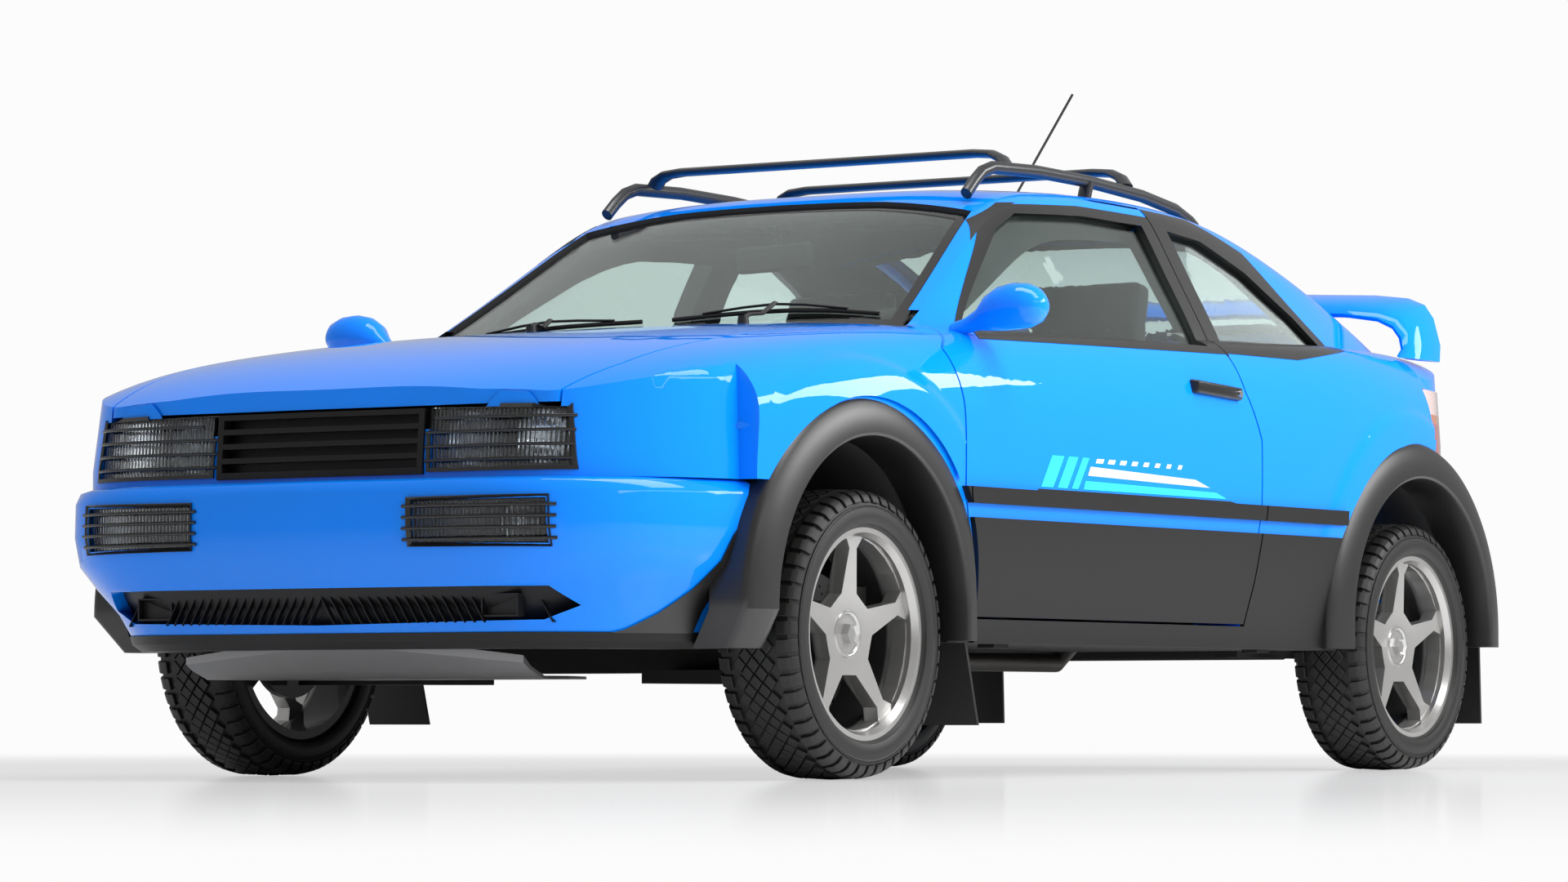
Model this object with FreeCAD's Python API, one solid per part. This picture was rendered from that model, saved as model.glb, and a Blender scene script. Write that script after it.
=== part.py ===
"""A small two-door coupe in rally trim, modelled in millimetres.

+X is the car's left, -Y is forward and +Z is up. The origin is on the ground under the middle of the car.
Lengths along the car are given from the front axle, and at() turns them into the model's own Y.
"""
import FreeCAD
import Part

import math
import os

from FreeCAD import Rotation, Vector

os.makedirs("parts", exist_ok=True)

# Stance
WHEELBASE = 2470.0
FRONT_AXLE_Y = -1153.2
TRACK_HALF = 730.0
AXLE_Z = 298.0
GROUND_CLEARANCE = 285.0

# Clearances
SEAT = 0.3
PANEL_GAP = 5.5
RUNNING_GAP = 8.0

# Body shell
WALL = 26.0
ROOF_WALL = 22.0
CABIN_HALF_WIDTH = 690.0
CABIN_FRONT = 400.0
CABIN_REAR = 2640.0
FLOOR_TOP = 330.0
FLOOR_THICKNESS = 40.0
BOOT_FLOOR_TOP = 520.0
BAY_HALF_WIDTH = 446.0
BAY_WALL = 14.0
BAY_LOW = 305.0
BULKHEAD_Y = 330.0
PILLAR_WALL = 42.0
BELT_Z = 935.0
JACK_Y = (620.0, 1800.0)

BOOT_HALF_WIDTH = 600.0
BOOT_FRONT = 1950.0
BOOT_REAR = 2990.0
REAR_HOUSE_X = 560.0
DOOR_TRIM_GAP = 6.0
GLASS_INSET = 9.0
GLASS_THICKNESS = 5.0
HATCH_LOW_Z = 940.0
ROOF_PLAN = [(0.0, 900.0), (530.0, 900.0), (540.0, 1400.0), (525.0, 2000.0), (0.0, 2000.0)]

# Front and rear ends
BUMPER_WALL = 24.0
BUMPER_LEVELS = [(296.0, 84.0), (340.0, 66.0), (392.0, 34.0), (440.0, 8.0), (500.0, 0.0), (570.0, 1.0), (592.0, 8.0), (600.0, 24.0)]
REAR_BUMPER_LEVELS = [(400.0, 40.0), (440.0, 14.0), (500.0, 4.0), (590.0, 0.0), (618.0, 8.0), (630.0, 26.0)]
INTAKE_LOW = 312.0
INTAKE_TOP = 386.0
LIP_LOW = 264.0
LIP_SHRINK = 92.0
GUARD_BAR = 8.0
GRILLE_SLOTS = 4
FLARE_DEPTH = 90.0
CLADDING_STAND = 12.0
CLADDING_TOP = 548.0
STRIP_STAND = 16.0
STRIP_Z = (578.0, 612.0)
MIRROR_STATIONS = [(430.0, 872.0, 990.0, 16.0, 12.0), (448.0, 878.0, 991.0, 46.0, 32.0), (485.0, 882.0, 992.0, 66.0, 46.0),
                   (530.0, 884.0, 992.0, 72.0, 52.0), (560.0, 884.0, 992.0, 70.0, 50.0)]
WING_HALF = 640.0
WING_SECTION = [(2705.0, 1150.0), (2740.0, 1162.0), (2800.0, 1158.0), (2900.0, 1136.0), (2900.0, 1130.0), (2800.0, 1140.0)]
WING_END = [(2700.0, 1152.0), (2740.0, 1164.0), (2905.0, 1138.0), (2870.0, 900.0), (2640.0, 900.0)]
RAIL_RADIUS = 14.0
CROSSBAR_Y = (1120.0, 1660.0)
CROSSBAR_Z = 1412.0
SEAT_X = 345.0
STEER_X = 350.0
STEER_Y = 905.0
STEER_Z = 850.0
STEER_AXIS = (0.0, 0.90631, 0.42262)
STEER_RADIUS = 182.0
PIPE_RADIUS = 22.0
EXHAUST_PATH = [(90.0, 292.0, 258.0), (90.0, 2000.0, 258.0), (140.0, 2150.0, 400.0), (200.0, 2440.0, 400.0), (300.0, 2760.0, 350.0)]
COLUMN_RADIUS = 18.0
COLUMN_LENGTH = 235.0
BUMPER_TOP = 600.0
BUMPER_BACK = -330.0
REAR_BUMPER_TOP = 630.0
REAR_BUMPER_BACK = 2700.0
LAMP_OUTLINE = [(279.0, 622.0), (273.0, 743.0), (589.0, 738.0), (602.0, 620.0)]
FOG_OUTLINE = [(281.0, 471.0), (279.0, 555.0), (580.0, 557.0), (583.0, 468.0)]
GRILLE_HALF = 262.0
GRILLE_TOP = 742.0
TAIL_LAMP_X = (470.0, 730.0)
TAIL_LAMP_Z = (770.0, 931.0)

# Wheels
TYRE_RADIUS = 298.0
TYRE_WIDTH = 196.0
RIM_RADIUS = 214.0
RIM_WIDTH = 168.0
SPOKES = 5
DISC_RADIUS = 128.0
DISC_THICKNESS = 20.0
ARCH_SHIFT = -28.0
ARCH_Z = 342.0
ARCH_RADIUS = 362.0
FLARE_INNER = 358.0
FLARE_OUTER = 448.0
KINGPIN_X = 700.0
FLARE_STAND = 862.0
LINER_THICKNESS = 6.0
KNUCKLE_IN = 590.0
TOWER_Z = 790.0
KNUCKLE_LOW = 226.0
KNUCKLE_TOP = 466.0
AXLE_RADIUS = 20.0
AXLE_CLEARANCE = 0.05
SPOKE_FACE = 40.0
HUB_BACK = -10.0
DISC_BACK = -60.0


def at(distance):
    """Model Y of a place given as its distance behind the front axle."""
    return FRONT_AXLE_Y + distance


def block(x0, x1, y0, y1, z0, z1):
    """Box between two corners, with Y given from the front axle."""
    return Part.makeBox(x1 - x0, y1 - y0, z1 - z0, Vector(x0, at(y0), z0))


def prism_x(outline, x0, x1):
    """Solid between x0 and x1 of a side view outline of (distance, z) points."""
    points = [Vector(x0, at(y), z) for y, z in outline]
    face = Part.Face(Part.makePolygon(points + points[:1]))
    return face.extrude(Vector(x1 - x0, 0, 0))


def prism_z(outline, z0, z1):
    """Solid between z0 and z1 of a plan outline of (x, distance) points."""
    points = [Vector(x, at(y), z0) for x, y in outline]
    face = Part.Face(Part.makePolygon(points + points[:1]))
    return face.extrude(Vector(0, 0, z1 - z0))


def prism_y(outline, y0, y1):
    """Solid between y0 and y1 of a front view outline of (x, z) points."""
    points = [Vector(x, at(y0), z) for x, z in outline]
    face = Part.Face(Part.makePolygon(points + points[:1]))
    return face.extrude(Vector(0, y1 - y0, 0))


def other_side(shape):
    """The same shape on the right of the car."""
    return shape.mirror(Vector(0, 0, 0), Vector(1, 0, 0))


def both_sides(shape):
    """The shape with its mirror image, as solids that don't touch."""
    return solids_of([shape, other_side(shape)])


def solids_of(shapes):
    """One compound of every solid in a list of shapes."""
    return Part.makeCompound([solid for shape in shapes for solid in shape.Solids])


def turned(profile, x, y, z, angle=360.0):
    """Ring about a wheel's axle line, of a profile of (offset along X, radius) points."""
    points = [Vector(x + a, at(y), z + r) for a, r in profile]
    face = Part.Face(Part.makePolygon(points + points[:1]))
    return face.revolve(Vector(x, at(y), z), Vector(1, 0, 0), angle)


def rod(start, end, radius):
    """Round bar between two points of (x, distance, z)."""
    a = Vector(start[0], at(start[1]), start[2])
    b = Vector(end[0], at(end[1]), end[2])
    return Part.makeCylinder(radius, a.distanceToPoint(b), a, b - a)


def export(name, shape):
    """Write one sub-part."""
    shape = solids_of([shape])
    for solid in shape.Solids:
        if not solid.isValid():
            print("not valid:", name)
    if not shape.Solids:
        raise ValueError("no solid in " + name)
    shape.exportStep("parts/" + name + ".step")
    box = shape.BoundBox
    print(name, len(shape.Solids), [round(v) for v in (box.XMin, box.XMax, box.YMin, box.YMax, box.ZMin, box.ZMax)])


def skin(stations):
    """Solid bounded by a smooth skin over poles, flat ends and a flat underside.

    Each station is its distance and the poles of its left half, from the centre line outwards and down.
    """
    rows = []
    for y, half in stations:
        right = [Vector(-x, at(y), z) for x, z in reversed(half)]
        left = [Vector(x, at(y), z) for x, z in half[1:]]
        rows.append(right + left)
    surface = Part.BSplineSurface()
    surface.buildFromPolesMultsKnots(
        rows, clamped(len(rows)), clamped(len(rows[0])),
        list(range(len(rows) - 2)), list(range(len(rows[0]) - 2)), False, False, 3, 3)
    side = surface.toShape()
    edges = side.Edges
    ends = []
    for pick in (min, max):
        y_end = pick(edge.BoundBox.Center.y for edge in edges)
        arch = [e for e in edges if abs(e.BoundBox.Center.y - y_end) < 1.0 and e.BoundBox.YLength < 1.0][0]
        first = arch.Vertexes[0].Point
        last = arch.Vertexes[-1].Point
        ends.append(Part.Face(Part.Wire([arch, Part.makeLine(last, first)])))
    lows = [e for e in edges if e.BoundBox.YLength > 1000.0]
    bars = [e for end in ends for e in end.Edges if e.Curve.TypeId == "Part::GeomLine"]
    under = Part.Face(Part.Wire(Part.__sortEdges__(lows + bars)))
    shell = Part.makeShell([side, under] + ends)
    shell.sewShape(0.01)
    solid = Part.makeSolid(shell)
    if solid.Volume < 0:
        solid.reverse()
    return solid


def clamped(count):
    """Knot multiplicities of a clamped cubic with this many poles."""
    return [4] + [1] * (count - 4) + [4]


# Lower body: poles at stations from nose to tail. The columns are the distance, the crown at the centre, the
# top edge x and z, the shoulder x and z, the widest x and z, the waist x at half height, and the sill x.
LOWER_STATIONS = [
    (-1000.0, 640.0, 480.0, 560.0, 640.0, 500.0, 690.0, 470.0, 690.0, 660.0),
    (-880.0, 735.0, 560.0, 690.0, 690.0, 640.0, 740.0, 580.0, 740.0, 720.0),
    (-760.0, 790.0, 600.0, 765.0, 730.0, 720.0, 790.0, 640.0, 790.0, 760.0),
    (-600.0, 845.0, 620.0, 828.0, 755.0, 795.0, 822.0, 680.0, 822.0, 785.0),
    (-400.0, 893.0, 640.0, 878.0, 775.0, 850.0, 838.0, 700.0, 838.0, 800.0),
    (-150.0, 932.0, 660.0, 916.0, 785.0, 888.0, 846.0, 710.0, 842.0, 806.0),
    (150.0, 964.0, 680.0, 948.0, 792.0, 916.0, 850.0, 715.0, 842.0, 808.0),
    (450.0, 985.0, 700.0, 968.0, 800.0, 938.0, 852.0, 715.0, 838.0, 806.0),
    (900.0, 985.0, 710.0, 985.0, 804.0, 958.0, 854.0, 715.0, 836.0, 806.0),
    (1400.0, 1000.0, 710.0, 1000.0, 804.0, 975.0, 854.0, 720.0, 836.0, 806.0),
    (1900.0, 1015.0, 705.0, 1015.0, 800.0, 995.0, 852.0, 730.0, 838.0, 806.0),
    (2250.0, 1025.0, 690.0, 1025.0, 785.0, 1004.0, 844.0, 740.0, 838.0, 804.0),
    (2550.0, 1030.0, 660.0, 1030.0, 755.0, 1000.0, 820.0, 750.0, 818.0, 780.0),
    (2800.0, 1032.0, 620.0, 1032.0, 715.0, 990.0, 775.0, 760.0, 775.0, 740.0),
    (3000.0, 1020.0, 570.0, 1020.0, 660.0, 975.0, 715.0, 760.0, 715.0, 680.0),
    (3200.0, 1000.0, 500.0, 1000.0, 590.0, 950.0, 640.0, 750.0, 640.0, 600.0),
]


def lower_body(inset=0.0, under=GROUND_CLEARANCE):
    """The body below the belt, or the space inside it, inset from its skin."""
    stations = []
    for y, crown, top_x, top_z, shoulder_x, shoulder_z, wide_x, wide_z, waist_x, sill_x in LOWER_STATIONS:
        half = [
            (0.0, crown - inset),
            (top_x * 0.5, crown - inset),
            (top_x - inset, top_z - inset),
            (shoulder_x - inset, shoulder_z - inset * 0.8),
            (wide_x - inset, (shoulder_z + wide_z) * 0.5),
            (wide_x - inset, wide_z),
            (waist_x - inset, (wide_z + under) * 0.5),
            (sill_x - inset, under + 45.0),
            (sill_x - inset, under),
        ]
        stations.append((y, half))
    return skin(stations)


# Cabin above the belt: the distance, the height at the centre, the pillar or roof edge x and z, and the belt x.
CABIN_STATIONS = [
    (240.0, 890.0, 640.0, 885.0, 700.0),
    (330.0, 955.0, 650.0, 915.0, 745.0),
    (520.0, 1068.0, 640.0, 1010.0, 775.0),
    (740.0, 1195.0, 610.0, 1142.0, 782.0),
    (930.0, 1298.0, 580.0, 1262.0, 784.0),
    (1080.0, 1330.0, 588.0, 1300.0, 785.0),
    (1400.0, 1342.0, 592.0, 1314.0, 785.0),
    (1700.0, 1340.0, 590.0, 1310.0, 783.0),
    (1960.0, 1322.0, 582.0, 1285.0, 778.0),
    (2250.0, 1262.0, 580.0, 1212.0, 765.0),
    (2520.0, 1172.0, 588.0, 1118.0, 735.0),
    (2760.0, 1062.0, 590.0, 1020.0, 690.0),
    (2950.0, 960.0, 560.0, 940.0, 630.0),
]
CABIN_UNDER = 880.0


def cabin_body(inset=0.0):
    """The greenhouse, or the space inside it, inset from its skin."""
    stations = []
    for y, crown, edge_x, edge_z, belt_x in CABIN_STATIONS:
        top = max(crown - inset, CABIN_UNDER + 2.0)
        side = max(edge_z - inset, CABIN_UNDER + 1.5)
        half = [
            (0.0, top),
            (edge_x * 0.5, top),
            (edge_x * 0.86 - inset, max((crown * 0.4 + edge_z * 0.6) - inset, CABIN_UNDER + 1.8)),
            (edge_x - inset, side),
            ((edge_x * 0.62 + belt_x * 0.38) - inset, max(side * 0.62 + CABIN_UNDER * 0.38, CABIN_UNDER + 1.0)),
            (belt_x - inset, CABIN_UNDER + 0.5 * (side - CABIN_UNDER) * 0.3),
            (belt_x - inset, CABIN_UNDER),
        ]
        stations.append((y, half))
    return skin(stations)


# Plan outlines of the nose and tail: x and the distance, for the left half from the centre outwards.
NOSE_PLAN = [(0.0, -772.0), (270.0, -766.0), (590.0, -737.0), (700.0, -640.0), (790.0, -430.0)]
BUMPER_PLAN = [(0.0, -845.0), (280.0, -836.0), (580.0, -796.0), (705.0, -690.0), (790.0, -480.0), (815.0, -340.0)]
TAIL_PLAN = [(0.0, 3090.0), (300.0, 3080.0), (560.0, 3010.0), (680.0, 2880.0), (760.0, 2640.0)]
REAR_BUMPER_PLAN = [(0.0, 3165.0), (300.0, 3155.0), (580.0, 3080.0), (700.0, 2950.0), (770.0, 2740.0), (800.0, 2600.0)]


def plan_wire(half, z, back, shrink=0.0, wide=0.0):
    """Closed wire at one height: a smooth bow through the plan points, closed by a straight line at back."""
    sign = 1.0 if half[0][1] > back else -1.0
    left = [Vector(x - shrink * (x > 0), at(y - sign * shrink), z) for x, y in half]
    right = [Vector(-p.x, p.y, p.z) for p in reversed(left[1:])]
    bow = Part.BSplineCurve()
    bow.interpolate(right + left)
    start = right[0]
    end = left[-1]
    corners = [end, Vector(end.x, at(back), z), Vector(start.x, at(back), z), start]
    if wide:
        side = [Vector(wide, end.y, z), Vector(wide, at(back), z), Vector(-wide, at(back), z), Vector(-wide, end.y, z)]
        corners = [end] + side + [start]
    lines = [Part.makeLine(a, b) for a, b in zip(corners, corners[1:])]
    return Part.Wire([bow.toShape()] + lines)


def plan_solid(half, levels, back, wide=0.0):
    """Loft of the plan outline through levels of (height, shrink)."""
    wires = [plan_wire(half, z, back, shrink, wide) for z, shrink in levels]
    return Part.makeLoft(wires, True, True)


def arch_cut(axle, radius, x_in, x_out=1000.0):
    """Round cut for a wheel on the left, a little ahead of its axle and open below."""
    centre = axle + ARCH_SHIFT
    drum = Part.makeCylinder(radius, x_out - x_in, Vector(x_in, at(centre), ARCH_Z), Vector(1, 0, 0))
    slot = block(x_in, x_out, centre - radius, centre + radius, -50.0, ARCH_Z)
    return drum.fuse(slot)


def arch_cuts(radius, x_in_front=BAY_HALF_WIDTH + BAY_WALL, x_in_rear=560.0):
    """The wheel spaces of all four wheels."""
    left = [arch_cut(0.0, radius, x_in_front), arch_cut(WHEELBASE, radius, x_in_rear)]
    return left + [other_side(shape) for shape in left]


# Masters that the panels are cut from
outer_low = lower_body()
inner_low = lower_body(WALL)
outer_cabin = cabin_body()
inner_cabin = cabin_body(PILLAR_WALL)
nose = plan_solid(NOSE_PLAN, [(100.0, 0.0), (640.0, 0.0), (800.0, 14.0), (1400.0, 160.0)], 3400.0, 1200.0)
tail = plan_solid(TAIL_PLAN, [(100.0, 0.0), (800.0, 0.0), (980.0, 8.0), (1400.0, 160.0)], -1200.0, 1200.0)
lower = outer_low.common(nose).common(tail)
body = lower.fuse(outer_cabin)
print("body", body.isValid(), len(body.Solids), body.Volume / 1e9)

front_space = inner_low.common(block(-1000, 1000, -1100, BULKHEAD_Y, 0, 1300)).common(
    plan_solid(NOSE_PLAN, [(100.0, WALL), (640.0, WALL), (800.0, WALL + 14.0), (1400.0, 160.0)], 700.0, 1200.0))
print("front space", front_space.isValid(), front_space.Volume / 1e9)
# Plan and side outlines of the panels. Side outlines hold (distance, z), plan outlines the left half's (x, distance).
DOOR_OUTLINE = [
    (374.0, 340.0), (370.0, 540.0), (350.0, 600.0), (339.0, 775.0), (324.0, 900.0), (395.0, 942.0), (470.0, 985.0),
    (865.0, 1244.0), (960.0, 1284.0), (1250.0, 1303.0), (1556.0, 1298.0), (1558.0, 965.0), (1578.0, 870.0),
    (1636.0, 760.0), (1650.0, 600.0), (1628.0, 440.0), (1600.0, 340.0),
]
DOOR_WINDOW = [(548.0, 958.0), (888.0, 1206.0), (980.0, 1247.0), (1250.0, 1260.0), (1506.0, 1256.0), (1506.0, 972.0)]
QUARTER_WINDOW = [
    (1622.0, 992.0), (1622.0, 1252.0), (1780.0, 1240.0), (1960.0, 1176.0), (2120.0, 1078.0), (2190.0, 1012.0),
]
WINDSCREEN_PLAN = [(0.0, 336.0), (330.0, 348.0), (628.0, 424.0), (522.0, 902.0), (280.0, 926.0), (0.0, 934.0)]
HATCH_GLASS_PLAN = [(0.0, 2020.0), (440.0, 2028.0), (520.0, 2620.0), (0.0, 2680.0)]
HATCH_PLAN = [(0.0, 1960.0), (500.0, 1972.0), (600.0, 2690.0), (600.0, 3300.0), (0.0, 3300.0)]
BONNET_PLAN = [(0.0, -774.0), (330.0, -766.0), (566.0, -738.0), (600.0, -560.0), (640.0, 306.0), (330.0, 276.0),
               (0.0, 262.0)]


def whole(half):
    """Plan outline of both sides from its left half, which starts and ends on the centre line."""
    return half + [(-x, y) for x, y in reversed(half) if x > 0.0]


def grown(outline, gap):
    """Closed outline moved outwards by a gap, or inwards where the gap is negative."""
    points = [Vector(a, b, 0) for a, b in outline]
    moved = Part.makePolygon(points + points[:1]).makeOffset2D(gap, 2)
    return [(v.Point.x, v.Point.y) for v in moved.OrderedVertexes]


def whole_block(z0, z1, y0=-1300.0, y1=3400.0):
    """Slab right across the car."""
    return block(-1100.0, 1100.0, y0, y1, z0, z1)


# Hollow shell of the body: cabin, boot, engine bay and wheel spaces cut out
cabin_space = block(-CABIN_HALF_WIDTH, CABIN_HALF_WIDTH, CABIN_FRONT, CABIN_REAR, FLOOR_TOP, 1000.0)
boot_space = block(-BOOT_HALF_WIDTH, BOOT_HALF_WIDTH, BOOT_FRONT, BOOT_REAR, BOOT_FLOOR_TOP, 985.0)
wheelhouse = arch_cut(WHEELBASE, ARCH_RADIUS + LINER_THICKNESS, REAR_HOUSE_X - LINER_THICKNESS)
wheelhouses = wheelhouse.fuse(other_side(wheelhouse))
cabin_space = cabin_space.cut(whole_block(0.0, BOOT_FLOOR_TOP, BOOT_FRONT)).fuse(boot_space).cut(wheelhouses)
glass_space = inner_cabin.common(whole_block(900.0, 1400.0, CABIN_FRONT - 60.0, BOOT_REAR))
shell = body.cut(cabin_space.fuse(glass_space)).cut(front_space)
for arch in arch_cuts(ARCH_RADIUS):
    shell = shell.cut(arch)
shell = shell.cut(whole_block(0.0, BUMPER_TOP + SEAT, -1300.0, BUMPER_BACK + SEAT))
shell = shell.cut(whole_block(0.0, REAR_BUMPER_TOP + SEAT, REAR_BUMPER_BACK - SEAT))
under_boot = block(-CABIN_HALF_WIDTH, CABIN_HALF_WIDTH, BOOT_FRONT + FLOOR_THICKNESS, 3400.0, 0.0, BOOT_FLOOR_TOP - FLOOR_THICKNESS)
shell = shell.cut(under_boot)

door_side = [(645.0, 0.0), (645.0, 960.0), (575.0, 1200.0), (545.0, 1400.0), (1100.0, 1400.0), (1100.0, 0.0)]
door_span = prism_y(door_side, 0.0, 2000.0)
door_zone = prism_x(DOOR_OUTLINE, 300.0, 1100.0).common(door_span)
door_hole = prism_x(grown(DOOR_OUTLINE, PANEL_GAP), 300.0, 1100.0).common(door_span)
window_zone = prism_x(DOOR_WINDOW, 300.0, 1100.0).common(door_span)
quarter_zone = prism_x(QUARTER_WINDOW, 300.0, 1100.0)
windscreen_zone = prism_z(whole(WINDSCREEN_PLAN), 900.0, 1400.0)
nose_ledge = whole_block(0.0, GRILLE_TOP + PANEL_GAP, -1300.0, -660.0)
bonnet_zone = prism_z(whole(BONNET_PLAN), 700.0, 1100.0).cut(nose_ledge)
bonnet_hole = prism_z(grown(whole(BONNET_PLAN), PANEL_GAP), 700.0, 1100.0)
hatch_zone = prism_z(whole(HATCH_PLAN), HATCH_LOW_Z, 1400.0)
hatch_hole = prism_z(grown(whole(HATCH_PLAN), PANEL_GAP), HATCH_LOW_Z - PANEL_GAP, 1400.0)
hatch_glass_zone = prism_z(whole(HATCH_GLASS_PLAN), 900.0, 1400.0)
lamp_zone = prism_y(LAMP_OUTLINE, -1000.0, -500.0)
tail_lamp_zone = block(TAIL_LAMP_X[0], 1000.0, 2600.0, 3300.0, *TAIL_LAMP_Z)
tail_lamp_zones = tail_lamp_zone.fuse(other_side(tail_lamp_zone))


def both(shape):
    """A cutter for both sides."""
    return shape.fuse(other_side(shape))


bonnet = shell.common(bonnet_zone)
tailgate = shell.common(hatch_zone)
fixed = shell.cut(bonnet_hole).cut(hatch_hole).cut(both(door_hole))

# Front of the body: wings, nose panel and bulkhead
front_zone = whole_block(0.0, 1100.0, -1300.0, BULKHEAD_Y)
front = fixed.common(front_zone)
grille_zone = prism_y(whole([(0.0, 610.0), (GRILLE_HALF, 610.0), (GRILLE_HALF, GRILLE_TOP), (0.0, GRILLE_TOP)]),
                      -1000.0, -600.0)
front = front.cut(both(lamp_zone)).cut(grille_zone)
export("front_wings", front)

bulkhead_zone = block(-CABIN_HALF_WIDTH, CABIN_HALF_WIDTH, BULKHEAD_Y, CABIN_FRONT, 0.0, 1100.0)
floor_zone = block(-CABIN_HALF_WIDTH, CABIN_HALF_WIDTH, CABIN_FRONT, BOOT_FRONT, 0.0, FLOOR_TOP + 1.0)
boot_zone = whole_block(0.0, BOOT_FLOOR_TOP + 1.0, BOOT_FRONT)
floor = fixed.common(bulkhead_zone).cut(windscreen_zone).fuse(fixed.common(floor_zone)).fuse(fixed.common(boot_zone))
export("floor_and_bulkhead", floor)

roof_zone = prism_z(whole(ROOF_PLAN), 1150.0, 1400.0)
roof = fixed.common(roof_zone).cut(windscreen_zone)
export("roof", roof)

sides = fixed.cut(front_zone).cut(bulkhead_zone).cut(floor_zone).cut(boot_zone).cut(roof_zone)
sides = sides.cut(windscreen_zone).cut(both(quarter_zone)).cut(tail_lamp_zones)
jack_pads = [block(725.0, 765.0, y - 30.0, y + 30.0, GROUND_CLEARANCE - 8.0, GROUND_CLEARANCE + 1.0) for y in JACK_Y]
jack_pads = jack_pads[0].fuse(jack_pads[1:])
export("side_frames", sides.fuse([jack_pads, other_side(jack_pads)]))

# Panes
pane_outer = cabin_body(GLASS_INSET)
pane_inner = cabin_body(GLASS_INSET + GLASS_THICKNESS)
panes = pane_outer.cut(pane_inner)
export("fixed_glass", solids_of([panes.common(windscreen_zone), panes.common(both(quarter_zone))]))
export("rear_glass", panes.common(hatch_glass_zone))
export("tailgate", tailgate.cut(hatch_glass_zone))
export("bonnet", bonnet)

# Doors
door_space = block(0.0, CABIN_HALF_WIDTH + DOOR_TRIM_GAP, -500.0, 3000.0, 0.0, BELT_Z + 20.0).fuse(inner_cabin)
door_left = body.common(door_zone).cut(door_space).cut(window_zone)
glass_left = panes.common(window_zone)
for side, door, glass in (("left", door_left, glass_left), ("right", other_side(door_left), other_side(glass_left))):
    export("door_" + side, door)
    export("door_glass_" + side, glass)


def bumper_shell(plan, levels, back, wall):
    """Hollow bumper: a loft of plan outlines with its inside cut away to one wall, as far as back."""
    sign = 1.0 if plan[0][1] > back else -1.0
    outside = plan_solid(plan, levels, back - sign * 400.0)
    inner_levels = [(z, shrink + wall) for z, shrink in levels]
    low = (inner_levels[0][0] - 1.0, inner_levels[0][1])
    inner_levels = [low] + inner_levels[1:-1] + [(inner_levels[-1][0] - 6.0, inner_levels[-1][1])]
    shell = outside.cut(plan_solid(plan, inner_levels, back - sign * 401.0))
    top, top_shrink = levels[-1]
    shell = shell.cut(plan_solid(plan, [(top - 20.0, top_shrink + 50.0), (top + 5.0, top_shrink + 50.0)], back - sign * 401.0))
    return shell.common(whole_block(0.0, 1400.0, min(back, back + sign * 1500.0), max(back, back + sign * 1500.0)))


def nose_layer(outside, inside):
    """Layer of the nose between two depths under its skin."""
    deep = [(500.0, inside), (640.0, inside), (800.0, inside + 14.0)]
    shallow = [(500.0, outside), (640.0, outside), (800.0, outside + 14.0)]
    return plan_solid(NOSE_PLAN, shallow, -100.0).cut(plan_solid(NOSE_PLAN, deep, -99.0))


def bumper_layer(outside, inside):
    """Layer of the front bumper between two depths under its skin."""
    shallow = [(z, shrink + outside) for z, shrink in BUMPER_LEVELS]
    deep = [(z, shrink + inside) for z, shrink in BUMPER_LEVELS]
    return plan_solid(BUMPER_PLAN, shallow, 0.0).cut(plan_solid(BUMPER_PLAN, deep, 1.0))


# Front bumper, its lip and the skid plate
arches = arch_cuts(ARCH_RADIUS)
fog_zone = prism_y(FOG_OUTLINE, -1000.0, -500.0)
INTAKE_OUTLINE = whole([(0.0, INTAKE_LOW), (520.0, INTAKE_LOW + 8.0), (590.0, INTAKE_LOW + 36.0), (556.0, INTAKE_TOP),
                        (0.0, INTAKE_TOP)])
intake_zone = prism_y(INTAKE_OUTLINE, -1000.0, -500.0)
front_bumper = bumper_shell(BUMPER_PLAN, BUMPER_LEVELS, BUMPER_BACK, BUMPER_WALL)
front_bumper = front_bumper.cut(both(fog_zone)).cut(intake_zone).cut(arches[0]).cut(arches[2])
export("front_bumper", front_bumper)
lip_levels = [(LIP_LOW, LIP_SHRINK + 8.0), (LIP_LOW + 14.0, LIP_SHRINK - 6.0), (BUMPER_LEVELS[0][0] - SEAT, LIP_SHRINK - 10.0)]
front_lip = bumper_shell(BUMPER_PLAN, lip_levels, BUMPER_BACK, 90.0).cut(arches[0]).cut(arches[2])
export("front_lip", front_lip)
skid_side = [(-704.0, LIP_LOW - SEAT), (-640.0, 224.0), (-590.0, 205.0), (-330.0, 205.0), (-330.0, 211.0),
             (-588.0, 211.0), (-634.0, 230.0), (-676.0, LIP_LOW - SEAT)]
skid = prism_x(skid_side, -430.0, 430.0)
skid_trim = prism_z(whole([(0.0, -720.0), (430.0, -660.0), (430.0, -500.0), (350.0, -330.0), (0.0, -330.0)]), 150.0, 300.0)
export("skid_plate", skid.common(skid_trim))

# Lamps, their guards and the grille
lenses = nose_layer(2.0, 9.0).common(both(lamp_zone))
bowls = nose_layer(9.0 + SEAT, 70.0).common(both(lamp_zone))
fog_lenses = bumper_layer(6.0, 14.0).common(both(fog_zone))
fog_bowls = bumper_layer(14.0 + SEAT, 60.0).common(both(fog_zone))
export("lamp_lenses", solids_of([lenses, fog_lenses]))
export("lamp_bowls", solids_of([bowls, fog_bowls]))


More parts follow.
